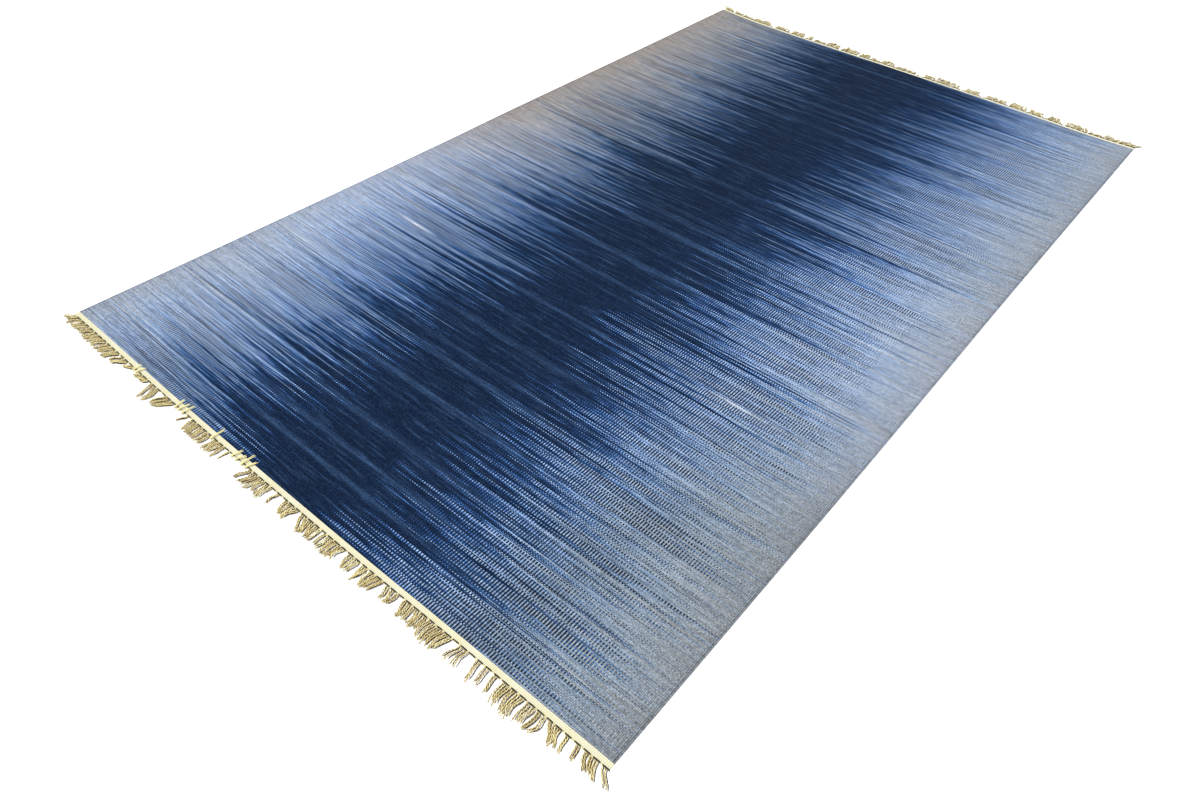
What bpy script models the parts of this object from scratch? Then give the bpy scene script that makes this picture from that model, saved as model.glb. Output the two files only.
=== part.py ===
"""A flat-woven dhurrie lying on a floor.

One woven field with corded selvedges, a plain heading at each end, and a fringe of warp ends outside
each heading. X runs across the rug, Y along it (the near end is at -Y) and Z up from the floor.
Units are metres, and MM turns a millimetre into one.
"""
import math
import random
from bisect import bisect_right
from collections import namedtuple

import bmesh
import bpy
from mathutils import Vector

MM = 0.001

# Driving sizes of the woven cloth
WIDTH = 1.800
FIELD_LENGTH = 2.960
FIELD_THICKNESS = 4.0 * MM
HEADING_WIDTH = 12.4 * MM
HEADING_THICKNESS = 2.8 * MM
SEAM_GAP = 0.35 * MM

# Driving sizes of the fringe
ROOT_STRIP_WIDTH = 2.0 * MM
ROOT_STRIP_HEIGHT = 2.6 * MM
ROOT_LINE = 2 * SEAM_GAP + HEADING_WIDTH + ROOT_STRIP_WIDTH
LOCK_PITCH = 12.0 * MM
LOCK_SHARE = 0.84
LOCK_MIN_WIDTH = 2.4 * MM
LOCK_TIP_HEIGHT = 2.0 * MM
LOCK_TOP_SHARE = 0.72
LOCK_STATIONS = (0.22, 0.50, 0.78, 1.00)
REACH_SPREAD = 0.10
DIRECTION_STEP = 1.0 * MM
FRINGE_SEED = 7

# How finely the outline is divided
COLUMNS_ACROSS = 40
ROWS_ALONG = 18

# A short run of points on an outline: `at` is the share of the side, `out` is how far it bows outward
Bow = namedtuple("Bow", "at out")
NEAR_BOW = (
    Bow(0.00, 3.0 * MM), Bow(0.10, 5.0 * MM), Bow(0.22, 9.4 * MM), Bow(0.36, 11.0 * MM),
    Bow(0.62, 9.2 * MM), Bow(0.80, 4.0 * MM), Bow(1.00, 0.6 * MM),
)
FAR_BOW = (
    Bow(0.00, 14.0 * MM), Bow(0.05, 3.0 * MM), Bow(0.12, -5.5 * MM), Bow(0.30, -5.0 * MM),
    Bow(0.50, 2.0 * MM), Bow(0.75, 3.5 * MM), Bow(0.89, 0.0 * MM), Bow(0.95, 3.5 * MM),
    Bow(1.00, 10.5 * MM),
)
LEFT_BOW = (
    Bow(0.00, 3.0 * MM), Bow(0.12, -2.5 * MM), Bow(0.36, -7.0 * MM), Bow(0.56, -1.5 * MM),
    Bow(0.80, -1.0 * MM), Bow(1.00, 3.5 * MM),
)
RIGHT_BOW = (Bow(0.00, 0.0 * MM), Bow(0.30, 2.0 * MM), Bow(0.60, -1.0 * MM), Bow(1.00, 1.0 * MM))

# The selvedge in section, from its outer edge inward: two cords with a groove beside each
Section = namedtuple("Section", "inset top bottom")
SELVEDGE = (
    Section(0.0 * MM, 2.4 * MM, 1.0 * MM),
    Section(0.5 * MM, 3.3 * MM, 0.3 * MM),
    Section(1.3 * MM, 3.9 * MM, 0.0),
    Section(2.4 * MM, 3.9 * MM, 0.0),
    Section(3.2 * MM, 3.3 * MM, 0.0),
    Section(3.7 * MM, 2.9 * MM, 0.0),
    Section(4.2 * MM, 3.4 * MM, 0.0),
    Section(5.2 * MM, 4.1 * MM, 0.0),
    Section(6.4 * MM, 4.1 * MM, 0.0),
    Section(7.2 * MM, 3.5 * MM, 0.0),
    Section(7.7 * MM, 3.1 * MM, 0.0),
    Section(8.3 * MM, 3.7 * MM, 0.0),
    Section(9.0 * MM, FIELD_THICKNESS, 0.0),
)

# Clumps of the fringe, as shares of the rug's width from its left edge: where the roots and the tips
# of a clump start and end, how far the tips reach from the root strip, and the sideways curl
Clump = namedtuple("Clump", "root_from root_to tip_from tip_to reach curl")
NEAR_CLUMPS = (
    Clump(0.0005, 0.0130, -0.0130, 0.0020, 22 * MM, 0.0),
    Clump(0.0145, 0.0565, 0.0050, 0.0490, 28 * MM, -2 * MM),
    Clump(0.0575, 0.0920, 0.0500, 0.0845, 33 * MM, -3 * MM),
    Clump(0.0930, 0.1280, 0.0855, 0.1180, 32 * MM, -3 * MM),
    Clump(0.1310, 0.1500, 0.1240, 0.1360, 27 * MM, 2 * MM),
    Clump(0.1570, 0.1670, 0.1480, 0.1560, 14 * MM, 0.0),
    Clump(0.1810, 0.2050, 0.1730, 0.1980, 13 * MM, 2 * MM),
    Clump(0.2080, 0.2300, 0.2185, 0.2320, 42 * MM, 3 * MM),
    Clump(0.2440, 0.2680, 0.2375, 0.2570, 38 * MM, -2 * MM),
    Clump(0.2970, 0.3010, 0.2900, 0.2930, 31 * MM, 5 * MM),
    Clump(0.3065, 0.3520, 0.3090, 0.3515, 35 * MM, 2 * MM),
    Clump(0.3590, 0.3830, 0.3580, 0.3810, 35 * MM, -3 * MM),
    Clump(0.3890, 0.3925, 0.3895, 0.3920, 30 * MM, 0.0),
    Clump(0.4330, 0.4800, 0.4260, 0.4790, 37 * MM, 2 * MM),
    Clump(0.4895, 0.4950, 0.4905, 0.4945, 36 * MM, 0.0),
    Clump(0.5050, 0.5316, 0.5105, 0.5265, 33 * MM, 0.0),
    Clump(0.5355, 0.5745, 0.5460, 0.5740, 36 * MM, 2 * MM),
    Clump(0.5775, 0.6160, 0.5800, 0.6135, 36 * MM, -2 * MM),
    Clump(0.6210, 0.6420, 0.6225, 0.6390, 31 * MM, 2 * MM),
    Clump(0.6450, 0.6550, 0.6475, 0.6520, 38 * MM, 0.0),
    Clump(0.6580, 0.6816, 0.6590, 0.6745, 37 * MM, -3 * MM),
    Clump(0.6840, 0.7066, 0.6880, 0.7045, 33 * MM, 3 * MM),
    Clump(0.7130, 0.7500, 0.7170, 0.7500, 36 * MM, 2 * MM),
    Clump(0.7515, 0.7890, 0.7520, 0.7840, 41 * MM, -3 * MM),
    Clump(0.7970, 0.8130, 0.7925, 0.8150, 43 * MM, 0.0),
    Clump(0.8220, 0.8310, 0.8270, 0.8340, 41 * MM, 0.0),
    Clump(0.8335, 0.8430, 0.8360, 0.8450, 36 * MM, 0.0),
    Clump(0.8480, 0.8545, 0.8535, 0.8590, 42 * MM, -2 * MM),
    Clump(0.8610, 0.8920, 0.8630, 0.8925, 48 * MM, -2 * MM),
    Clump(0.8930, 0.9215, 0.8940, 0.9180, 44 * MM, 2 * MM),
    Clump(0.9225, 0.9410, 0.9340, 0.9455, 33 * MM, 0.0),
    Clump(0.9450, 0.9510, 0.9505, 0.9565, 35 * MM, 0.0),
    Clump(0.9580, 0.9655, 0.9630, 0.9700, 29 * MM, 0.0),
    Clump(0.9695, 0.9880, 0.9760, 0.9960, 31 * MM, 0.0),
    Clump(0.9900, 0.9990, 1.0020, 1.0125, 30 * MM, 0.0),
)
FAR_CLUMPS = (
    Clump(0.0010, 0.0260, -0.0120, 0.0160, 38 * MM, 0.0),
    Clump(0.0300, 0.0560, 0.0240, 0.0520, 28 * MM, 0.0),
    Clump(0.0575, 0.0860, 0.0550, 0.0830, 24 * MM, 2 * MM),
    Clump(0.0880, 0.1120, 0.0890, 0.1080, 33 * MM, 2 * MM),
    Clump(0.1135, 0.1380, 0.1100, 0.1310, 44 * MM, -1 * MM),
    Clump(0.1520, 0.1880, 0.1505, 0.1840, 38 * MM, 2 * MM),
    Clump(0.1970, 0.2340, 0.1950, 0.2270, 42 * MM, -2 * MM),
    Clump(0.2410, 0.2560, 0.2390, 0.2520, 46 * MM, 0.0),
    Clump(0.2600, 0.2895, 0.2610, 0.2890, 28 * MM, 1 * MM),
    Clump(0.2920, 0.3270, 0.2980, 0.3210, 47 * MM, 0.0),
    Clump(0.3310, 0.3740, 0.3370, 0.3710, 46 * MM, 2 * MM),
    Clump(0.3775, 0.4040, 0.3810, 0.4040, 40 * MM, 0.0),
    Clump(0.4090, 0.4305, 0.4100, 0.4300, 26 * MM, 0.0),
    Clump(0.4320, 0.4660, 0.4370, 0.4630, 46 * MM, 0.0),
    Clump(0.4700, 0.5170, 0.4710, 0.5150, 28 * MM, 3 * MM),
    Clump(0.5410, 0.5655, 0.5385, 0.5620, 38 * MM, 0.0),
    Clump(0.5670, 0.6230, 0.5690, 0.6190, 45 * MM, -1 * MM),
    Clump(0.6370, 0.6690, 0.6400, 0.6650, 41 * MM, 0.0),
    Clump(0.6840, 0.7300, 0.6820, 0.7270, 41 * MM, 2 * MM),
    Clump(0.7370, 0.7760, 0.7410, 0.7710, 48 * MM, -2 * MM),
    Clump(0.7800, 0.8120, 0.7785, 0.8090, 43 * MM, 0.0),
    Clump(0.8175, 0.8510, 0.8220, 0.8430, 46 * MM, 0.0),
    Clump(0.8586, 0.9050, 0.8570, 0.8990, 43 * MM, 2 * MM),
    Clump(0.9070, 0.9320, 0.9120, 0.9365, 20 * MM, 0.0),
    Clump(0.9345, 0.9610, 0.9405, 0.9655, 37 * MM, 0.0),
    Clump(0.9630, 0.9985, 0.9725, 1.0090, 40 * MM, 0.0),
)

# Warp ends that were flipped back and lie on the cloth: where each starts, how far its tip leans
# across, and how far it reaches back from the root strip
Flip = namedtuple("Flip", "root lean back")
NEAR_FLIPS = (
    Flip(0.1705, -3 * MM, 22 * MM), Flip(0.1765, 6 * MM, 20 * MM),
    Flip(0.2740, -4 * MM, 27 * MM), Flip(0.2810, 5 * MM, 25 * MM), Flip(0.2900, 3 * MM, 29 * MM),
    Flip(0.3555, 1 * MM, 37 * MM),
    Flip(0.4000, 7 * MM, 27 * MM), Flip(0.4090, 10 * MM, 21 * MM), Flip(0.4205, 1 * MM, 32 * MM),
    Flip(0.4285, 8 * MM, 25 * MM),
)
FAR_FLIPS = ()
FLIP_WIDTH = 2.6 * MM
FLIP_HEIGHT = 2.2 * MM
FLIP_CLEARANCE = 0.4 * MM
FLIP_TURN_OUT = 5.2 * MM

End = namedtuple("End", "name sign bow clumps flips")
NEAR_END = End("near", -1.0, NEAR_BOW, NEAR_CLUMPS, NEAR_FLIPS)
FAR_END = End("far", 1.0, FAR_BOW, FAR_CLUMPS, FAR_FLIPS)


def smooth(bow, at):
    """Height of the smooth curve through the rows of a bow table, at a share of its side."""
    places = [row.at for row in bow]
    last = len(bow) - 1
    first = min(max(bisect_right(places, at) - 1, 0), last - 1)

    def slope(i):
        before, after = bow[max(i - 1, 0)], bow[min(i + 1, last)]
        return (after.out - before.out) / (after.at - before.at)

    here, there = bow[first], bow[first + 1]
    span = there.at - here.at
    u = min(max((at - here.at) / span, 0.0), 1.0)
    rise = 3 * u * u - 2 * u ** 3
    leave = u ** 3 - 2 * u * u + u
    arrive = u ** 3 - u * u
    return (here.out + rise * (there.out - here.out)
            + span * (leave * slope(first) + arrive * slope(first + 1)))


# Shares of the width at which the ends are divided, closer together near the corners
ACROSS = [0.5 - 0.5 * math.cos(math.pi * k / COLUMNS_ACROSS) for k in range(COLUMNS_ACROSS + 1)]
ALONG = [k / ROWS_ALONG for k in range(ROWS_ALONG + 1)]


def side_x(along):
    """X of the left and right outer edges at a share of the length."""
    left = -WIDTH / 2 - smooth(LEFT_BOW, along)
    right = WIDTH / 2 + smooth(RIGHT_BOW, along)
    return left, right


def end_out(end, across):
    """How far the field's end bows outward, on the straight runs between the divisions."""
    across = min(max(across, 0.0), 1.0)
    first = min(bisect_right(ACROSS, across) - 1, COLUMNS_ACROSS - 1)
    low, high = ACROSS[first], ACROSS[first + 1]
    u = (across - low) / (high - low)
    return (1 - u) * smooth(end.bow, low) + u * smooth(end.bow, high)


def end_y(end, across, outside=0.0):
    """Y of a line that runs along an end, a distance outside the field."""
    return end.sign * (FIELD_LENGTH / 2 + end_out(end, across) + outside)


def end_x(end, across):
    """X at a share of the width, on the field's end."""
    left, right = side_x(0.0 if end.sign < 0 else 1.0)
    return left + across * (right - left)


def field_point(across, inset, along, z):
    """A point of the field, given by its share of the width and an inset from that place."""
    left, right = side_x(along)
    share = across + inset / (right - left)
    near, far = end_y(NEAR_END, share), end_y(FAR_END, share)
    return Vector((left + share * (right - left), near + along * (far - near), z))


def add_object(name, mesh_data, material):
    """Turn a finished bmesh into a named object with its material."""
    bmesh.ops.recalc_face_normals(mesh_data, faces=mesh_data.faces)
    mesh = bpy.data.meshes.new(name)
    mesh_data.to_mesh(mesh)
    mesh_data.free()
    mesh.materials.append(material)
    thing = bpy.data.objects.new(name, mesh)
    bpy.context.scene.collection.objects.link(thing)
    return thing


def make_material(name, colour, roughness):
    """A plain woven-yarn material."""
    material = bpy.data.materials.new(name)
    material.use_nodes = True
    shader = material.node_tree.nodes["Principled BSDF"]
    shader.inputs["Base Color"].default_value = (*colour, 1.0)
    shader.inputs["Roughness"].default_value = roughness
    shader.inputs["Metallic"].default_value = 0.0
    return material


def bridge(mesh_data, first, second):
    """Faces between two rows of points with the same count."""
    for a, b, c, d in zip(first, first[1:], second[1:], second):
        mesh_data.faces.new((a, b, c, d))


def build_field(material):
    """The woven field: corded selvedges, one flat top and one flat underside between them."""
    mesh_data = bmesh.new()

    def line_of_points(across, inset, z):
        return [mesh_data.verts.new(field_point(across, inset, along, z)) for along in ALONG]

    columns = [(0.0, row.inset, row) for row in SELVEDGE]
    columns += [(1.0, -row.inset, row) for row in reversed(SELVEDGE)]
    tops = [line_of_points(across, inset, row.top) for across, inset, row in columns]
    bottoms = [line_of_points(across, inset, row.bottom) for across, inset, row in columns]
    cords = len(SELVEDGE)
    for lines in (tops, bottoms):
        for left, right in zip(lines[:cords], lines[1:cords]):
            bridge(mesh_data, left, right)
        for left, right in zip(lines[cords:], lines[cords + 1:]):
            bridge(mesh_data, left, right)
    bridge(mesh_data, tops[0], bottoms[0])
    bridge(mesh_data, tops[-1], bottoms[-1])

    # Both ends: the divisions well between the selvedges, then a wall from selvedge to selvedge
    clear = 2 * SELVEDGE[-1].inset / WIDTH
    middles = [share for share in ACROSS if clear < share < 1 - clear]
    borders = {}
    for row, along in ((0, 0.0), (-1, 1.0)):
        top = [line[row] for line in tops[:cords]]
        top += [mesh_data.verts.new(field_point(share, 0.0, along, FIELD_THICKNESS))
                for share in middles]
        top += [line[row] for line in tops[cords:]]
        bottom = [line[row] for line in bottoms[:cords]]
        bottom += [mesh_data.verts.new(field_point(share, 0.0, along, 0.0)) for share in middles]
        bottom += [line[row] for line in bottoms[cords:]]
        bridge(mesh_data, top, bottom)
        inside = slice(cords - 1, cords + len(middles) + 1)
        borders[row] = (top[inside], bottom[inside])
    for lines, level in ((tops, 0), (bottoms, 1)):
        outline = list(borders[0][level])
        outline += lines[cords][1:-1]
        outline += reversed(borders[-1][level])
        outline += reversed(lines[cords - 1][1:-1])
        mesh_data.faces.new(outline)
    return add_object("field", mesh_data, material)


def build_heading(end, material):
    """The plain band outside one end of the field."""
    mesh_data = bmesh.new()
    inner = SEAM_GAP
    outer = SEAM_GAP + HEADING_WIDTH
    corners = ((inner, 0.0), (inner, HEADING_THICKNESS), (outer, HEADING_THICKNESS), (outer, 0.0))
    lines = [
        [mesh_data.verts.new((end_x(end, share), end_y(end, share, outside), z)) for share in ACROSS]
        for outside, z in corners
    ]
    for first, second in zip(lines, lines[1:] + lines[:1]):
        bridge(mesh_data, first, second)
    mesh_data.faces.new([line[0] for line in lines])
    mesh_data.faces.new([line[-1] for line in lines])
    return add_object(f"{end.name}_heading", mesh_data, material)


class Lock:
    """One lock of the fringe that lies on the floor."""

    def __init__(self, clump, slot, slots, draw):
        """Take one of a clump's slots; draw gives the seeded numbers that make the locks uneven."""
        margin = (1 - LOCK_SHARE) / 2
        sides = (slot + margin) / slots, (slot + 1 - margin) / slots
        self.root = [clump.root_from + side * (clump.root_to - clump.root_from) for side in sides]
        self.tip = [clump.tip_from + side * (clump.tip_to - clump.tip_from) for side in sides]
        self.clump = clump
        self.reach = clump.reach * (1 + REACH_SPREAD * draw.uniform(-1, 1))

    def centre(self, end, outward):
        """Across and width of the lock at a distance from the root strip.

        Both follow the whole clump's reach, so that the longer locks of a clump stay beside the others.
        """
        u = outward / self.clump.reach
        ease = u * u * (3 - 2 * u)
        roots = [end_x(end, share) for share in self.root]
        tips = [end_x(end, share) for share in self.tip]
        start, stop = sum(roots) / 2, sum(tips) / 2
        across = start + (stop - start) * ease + self.clump.curl * math.sin(math.pi * u)
        root_width, tip_width = roots[1] - roots[0], tips[1] - tips[0]
        return across, root_width + (tip_width - root_width) * ease

    def rings(self, end):
        """The corner points of each section after the root: left and right foot and shoulder."""
        base = end_y(end, sum(self.root) / 2, ROOT_LINE)
        for share in LOCK_STATIONS:
            outward = share * self.reach
            across, width = self.centre(end, outward)
            ahead, behind = (self.centre(end, outward + step)[0] for step in (DIRECTION_STEP, 0.0))
            run = Vector((ahead - behind, DIRECTION_STEP)).normalized()
            breadth = max(width * run.y, LOCK_MIN_WIDTH)
            height = ROOT_STRIP_HEIGHT + (LOCK_TIP_HEIGHT - ROOT_STRIP_HEIGHT) * share
            top = LOCK_TOP_SHARE
            ring = []
            for side, z in ((-1, 0.0), (-top, height), (top, height), (1, 0.0)):
                half = side * breadth / 2
                ring.append((across + half * run.y,
                             base + end.sign * (outward - half * run.x), z))
            yield ring


class FlippedLock:
    """One warp end that turns back over the heading and lies on the field."""

    def __init__(self, flip):
        """Keep the row and work out the share of the width that the root takes."""
        half = FLIP_WIDTH / WIDTH / 2
        self.flip = flip
        self.root = [flip.root - half, flip.root + half]

    def rings(self, end):
        """The corner points of each section, along a tight turn and then back over the cloth."""
        x = end_x(end, self.flip.root)
        base = end_y(end, self.flip.root, ROOT_LINE)
        low = ROOT_STRIP_HEIGHT / 2
        lie = FIELD_THICKNESS + FLIP_CLEARANCE + FLIP_HEIGHT / 2
        top = lie + 0.6 * MM
        route = (
            (0.45 * FLIP_TURN_OUT, low + 0.1 * MM),
            (FLIP_TURN_OUT, (low + top) / 2),
            (0.50 * FLIP_TURN_OUT, top),
            (-0.35 * self.flip.back, top - 0.2 * MM),
            (-0.70 * self.flip.back, lie),
            (-self.flip.back, lie),
        )
        points = [Vector((0.0, low))] + [Vector(point) for point in route]
        for i, point in enumerate(points[1:], start=1):
            ahead = points[min(i + 1, len(points) - 1)] - points[i - 1]
            normal = Vector((-ahead.y, ahead.x)).normalized() * FLIP_HEIGHT / 2
            lean = self.flip.lean * max(0.0, -point.x / self.flip.back)
            ring = []
            for side, lift in ((-1, -1), (-1, 1), (1, 1), (1, -1)):
                corner = point + lift * normal
                ring.append((x + lean + side * FLIP_WIDTH / 2, base + end.sign * corner.x, corner.y))
            yield ring


def fringe_locks(end):
    """Every lock of one end, from left to right."""
    draw = random.Random(FRINGE_SEED)
    locks = []
    for clump in end.clumps:
        slots = max(1, round((clump.root_to - clump.root_from) * WIDTH / LOCK_PITCH))
        locks += [Lock(clump, slot, slots, draw) for slot in range(slots)]
    locks += [FlippedLock(flip) for flip in end.flips]
    return sorted(locks, key=lambda lock: lock.root[0])


def build_fringe(end, material):
    """The root strip of one end with its locks growing out of the strip's outer face."""
    mesh_data = bmesh.new()
    locks = fringe_locks(end)
    shares = [0.0] + [share for lock in locks for share in lock.root] + [1.0]
    inner, outer = ROOT_LINE - ROOT_STRIP_WIDTH, ROOT_LINE
    corners = ((inner, 0.0), (inner, ROOT_STRIP_HEIGHT), (outer, ROOT_STRIP_HEIGHT), (outer, 0.0))
    lines = [
        [mesh_data.verts.new((end_x(end, share), end_y(end, share, outside), z)) for share in shares]
        for outside, z in corners
    ]
    inner_foot, inner_top, outer_top, outer_foot = lines
    bridge(mesh_data, inner_foot, inner_top)
    bridge(mesh_data, inner_top, outer_top)
    bridge(mesh_data, outer_foot, inner_foot)
    mesh_data.faces.new([line[0] for line in lines])
    mesh_data.faces.new([line[-1] for line in lines])

    # Every second stretch of the outer face is a lock's root, and the others are closed
    for i in range(0, len(shares) - 1, 2):
        mesh_data.faces.new((outer_top[i], outer_top[i + 1], outer_foot[i + 1], outer_foot[i]))
    for i, lock in enumerate(locks):
        left, right = 2 * i + 1, 2 * i + 2
        ring = [outer_foot[left], outer_top[left], outer_top[right], outer_foot[right]]
        for points in lock.rings(end):
            following = [mesh_data.verts.new(point) for point in points]
            bridge(mesh_data, ring + ring[:1], following + following[:1])
            ring = following
        mesh_data.faces.new(ring)
    return add_object(f"{end.name}_fringe", mesh_data, material)


def main():
    """Clear the scene and build the rug's five pieces."""
    for thing in list(bpy.data.objects):
        bpy.data.objects.remove(thing, do_unlink=True)
    field_yarn = make_material("field_blue", (0.07, 0.12, 0.25), 0.90)
    build_field(field_yarn)
    for end in (NEAR_END, FAR_END):
        heading_yarn = make_material(f"{end.name}_heading_cream", (0.86, 0.80, 0.52), 0.88)
        fringe_yarn = make_material(f"{end.name}_fringe_beige", (0.72, 0.62, 0.42), 0.92)
        build_heading(end, heading_yarn)
        build_fringe(end, fringe_yarn)


main()
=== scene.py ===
"""The looks of a flat-woven dhurrie that lies on a floor.

A weft-faced field, space-dyed from navy in the middle to pale grey-blue at both long sides, with corded
selvedges, a cream heading at each end and a short fringe of plied warp ends. X runs across the rug,
Y along it (the near end is at -Y) and Z up from the floor. Units are metres, and MM turns a millimetre
into one.
"""
import logging
import math
import random
from bisect import bisect_right
from dataclasses import dataclass, field
from enum import Enum
from typing import Iterator, NamedTuple, Sequence, TypeVar

import bmesh
import bpy
import numpy as np
from mathutils import Matrix, Vector


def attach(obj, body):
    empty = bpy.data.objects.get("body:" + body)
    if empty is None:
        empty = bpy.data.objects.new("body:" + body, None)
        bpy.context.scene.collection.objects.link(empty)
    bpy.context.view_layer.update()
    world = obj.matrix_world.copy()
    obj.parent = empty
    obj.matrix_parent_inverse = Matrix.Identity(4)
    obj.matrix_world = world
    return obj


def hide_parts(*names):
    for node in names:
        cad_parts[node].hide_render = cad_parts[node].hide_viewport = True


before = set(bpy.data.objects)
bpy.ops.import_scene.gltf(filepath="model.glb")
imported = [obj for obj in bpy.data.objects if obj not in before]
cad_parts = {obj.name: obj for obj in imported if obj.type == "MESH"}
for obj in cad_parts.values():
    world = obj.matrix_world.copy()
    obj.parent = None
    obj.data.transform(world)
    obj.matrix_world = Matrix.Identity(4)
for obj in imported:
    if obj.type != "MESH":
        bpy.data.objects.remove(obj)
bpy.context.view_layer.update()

LOG = logging.getLogger("dhurrie")
MM = 0.001
BODY = "root"

# Driving sizes, as in the solids
WIDTH = 1.800
FIELD_LENGTH = 2.960
FIELD_THICKNESS = 4.0 * MM
HEADING_WIDTH = 12.4 * MM
SEAM_GAP = 0.35 * MM
ROOT_STRIP_WIDTH = 2.0 * MM
ROOT_LINE = 2 * SEAM_GAP + HEADING_WIDTH + ROOT_STRIP_WIDTH
LOCK_PITCH = 12.0 * MM
LOCK_SHARE = 0.84
REACH_SPREAD = 0.10
FRINGE_SEED = 7

# The weave: warp ribs between the selvedges, and weft picks packed over them
SELVEDGE_WIDTH = 9.0 * MM
RIB_COUNT = 486
RIB_PITCH = (WIDTH - 2 * SELVEDGE_WIDTH) / RIB_COUNT
PICK = 1.05 * MM
WEAVE_MAP = "weave"
YARN_MAP = "yarn"
BAKE_MAP = "OFBake"

# Tiles of the yarn map: plain yarns first, then paler copies painted as lit, then darker copies painted
# as the shade below
YARN_TILES = 16
PAINTED_LIT_TILE = 9
PAINTED_SHADE_TILE = 12

Array = np.ndarray
Colour = tuple[float, float, float, float]
Point = tuple[float, float, float]
Row = TypeVar("Row")


def srgb(red: int, green: int, blue: int) -> Colour:
    """A colour as a screen shows it, turned into linear light.

    Args:
        red: Red from 0 to 255.
        green: Green from 0 to 255.
        blue: Blue from 0 to 255.

    Returns:
        Linear red, green and blue, and a full alpha.
    """
    def linear(value: int) -> float:
        """One channel in linear light."""
        share = value / 255
        return share / 12.92 if share <= 0.04045 else ((share + 0.055) / 1.055) ** 2.4

    return linear(red), linear(green), linear(blue), 1.0


class Bow(NamedTuple):
    """A point of an outline: its share of the side, and how far it bows outward."""

    at: float
    out: float


class CordSection(NamedTuple):
    """A point of the selvedge in section: its inset from the outer edge, and both faces there."""

    inset: float
    top: float
    bottom: float


class Clump(NamedTuple):
    """A clump of the fringe, in shares of the width from the left edge, with its reach and curl."""

    root_from: float
    root_to: float
    tip_from: float
    tip_to: float
    reach: float
    curl: float


class Flip(NamedTuple):
    """A warp end that turns back over the cloth: its root, how far it leans and how far it reaches."""

    root: float
    lean: float
    back: float


def in_mm(kind: type[Row], plain: int, *rows: tuple[float, ...]) -> tuple[Row, ...]:
    """A table's rows, whose columns after the plain ones are given in millimetres.

    Args:
        kind: What each row becomes.
        plain: How many columns at the start are shares of a side.
        rows: The rows.

    Returns:
        The rows with their lengths in metres.
    """
    return tuple(kind(*row[:plain], *(value * MM for value in row[plain:])) for row in rows)


NEAR_BOW = in_mm(
    Bow, 1,
    (0.00, 3.0), (0.10, 5.0), (0.22, 9.4), (0.36, 11.0),
    (0.62, 9.2), (0.80, 4.0), (1.00, 0.6),
)
FAR_BOW = in_mm(
    Bow, 1,
    (0.00, 14.0), (0.05, 3.0), (0.12, -5.5), (0.30, -5.0),
    (0.50, 2.0), (0.75, 3.5), (0.89, 0.0), (0.95, 3.5),
    (1.00, 10.5),
)
LEFT_BOW = in_mm(
    Bow, 1,
    (0.00, 3.0), (0.12, -2.5), (0.36, -7.0), (0.56, -1.5),
    (0.80, -1.0), (1.00, 3.5),
)
RIGHT_BOW = in_mm(Bow, 1, (0.00, 0.0), (0.30, 2.0), (0.60, -1.0), (1.00, 1.0))

SELVEDGE = in_mm(
    CordSection, 0,
    (0.0, 2.4, 1.0),
    (0.5, 3.3, 0.3),
    (1.3, 3.9, 0.0),
    (2.4, 3.9, 0.0),
    (3.2, 3.3, 0.0),
    (3.7, 2.7, 0.2),
    (4.2, 3.4, 0.0),
    (5.2, 4.1, 0.0),
    (6.4, 4.1, 0.0),
    (7.2, 3.5, 0.0),
    (7.7, 3.0, 0.2),
    (8.3, 3.7, 0.0),
)

NEAR_CLUMPS = in_mm(
    Clump, 4,
    (0.0005, 0.0130, -0.0130, 0.0020, 22, 0.0),
    (0.0145, 0.0565, 0.0050, 0.0490, 28, -2),
    (0.0575, 0.0920, 0.0500, 0.0845, 33, -3),
    (0.0930, 0.1280, 0.0855, 0.1180, 32, -3),
    (0.1310, 0.1500, 0.1240, 0.1360, 27, 2),
    (0.1570, 0.1670, 0.1480, 0.1560, 14, 0.0),
    (0.1810, 0.2050, 0.1730, 0.1980, 13, 2),
    (0.2080, 0.2300, 0.2185, 0.2320, 42, 3),
    (0.2440, 0.2680, 0.2375, 0.2570, 38, -2),
    (0.2970, 0.3010, 0.2900, 0.2930, 31, 5),
    (0.3065, 0.3520, 0.3090, 0.3515, 35, 2),
    (0.3590, 0.3830, 0.3580, 0.3810, 35, -3),
    (0.3890, 0.3925, 0.3895, 0.3920, 30, 0.0),
    (0.4330, 0.4800, 0.4260, 0.4790, 37, 2),
    (0.4895, 0.4950, 0.4905, 0.4945, 36, 0.0),
    (0.5050, 0.5316, 0.5105, 0.5265, 33, 0.0),
    (0.5355, 0.5745, 0.5460, 0.5740, 36, 2),
    (0.5775, 0.6160, 0.5800, 0.6135, 36, -2),
    (0.6210, 0.6420, 0.6225, 0.6390, 31, 2),
    (0.6450, 0.6550, 0.6475, 0.6520, 38, 0.0),
    (0.6580, 0.6816, 0.6590, 0.6745, 37, -3),
    (0.6840, 0.7066, 0.6880, 0.7045, 33, 3),
    (0.7130, 0.7500, 0.7170, 0.7500, 36, 2),
    (0.7515, 0.7890, 0.7520, 0.7840, 41, -3),
    (0.7970, 0.8130, 0.7925, 0.8150, 43, 0.0),
    (0.8220, 0.8310, 0.8270, 0.8340, 41, 0.0),
    (0.8335, 0.8430, 0.8360, 0.8450, 36, 0.0),
    (0.8480, 0.8545, 0.8535, 0.8590, 42, -2),
    (0.8610, 0.8920, 0.8630, 0.8925, 48, -2),
    (0.8930, 0.9215, 0.8940, 0.9180, 44, 2),
    (0.9225, 0.9410, 0.9340, 0.9455, 33, 0.0),
    (0.9450, 0.9510, 0.9505, 0.9565, 35, 0.0),
    (0.9580, 0.9655, 0.9630, 0.9700, 29, 0.0),
    (0.9695, 0.9880, 0.9760, 0.9960, 31, 0.0),
    (0.9900, 0.9990, 1.0020, 1.0125, 30, 0.0),
)
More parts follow.
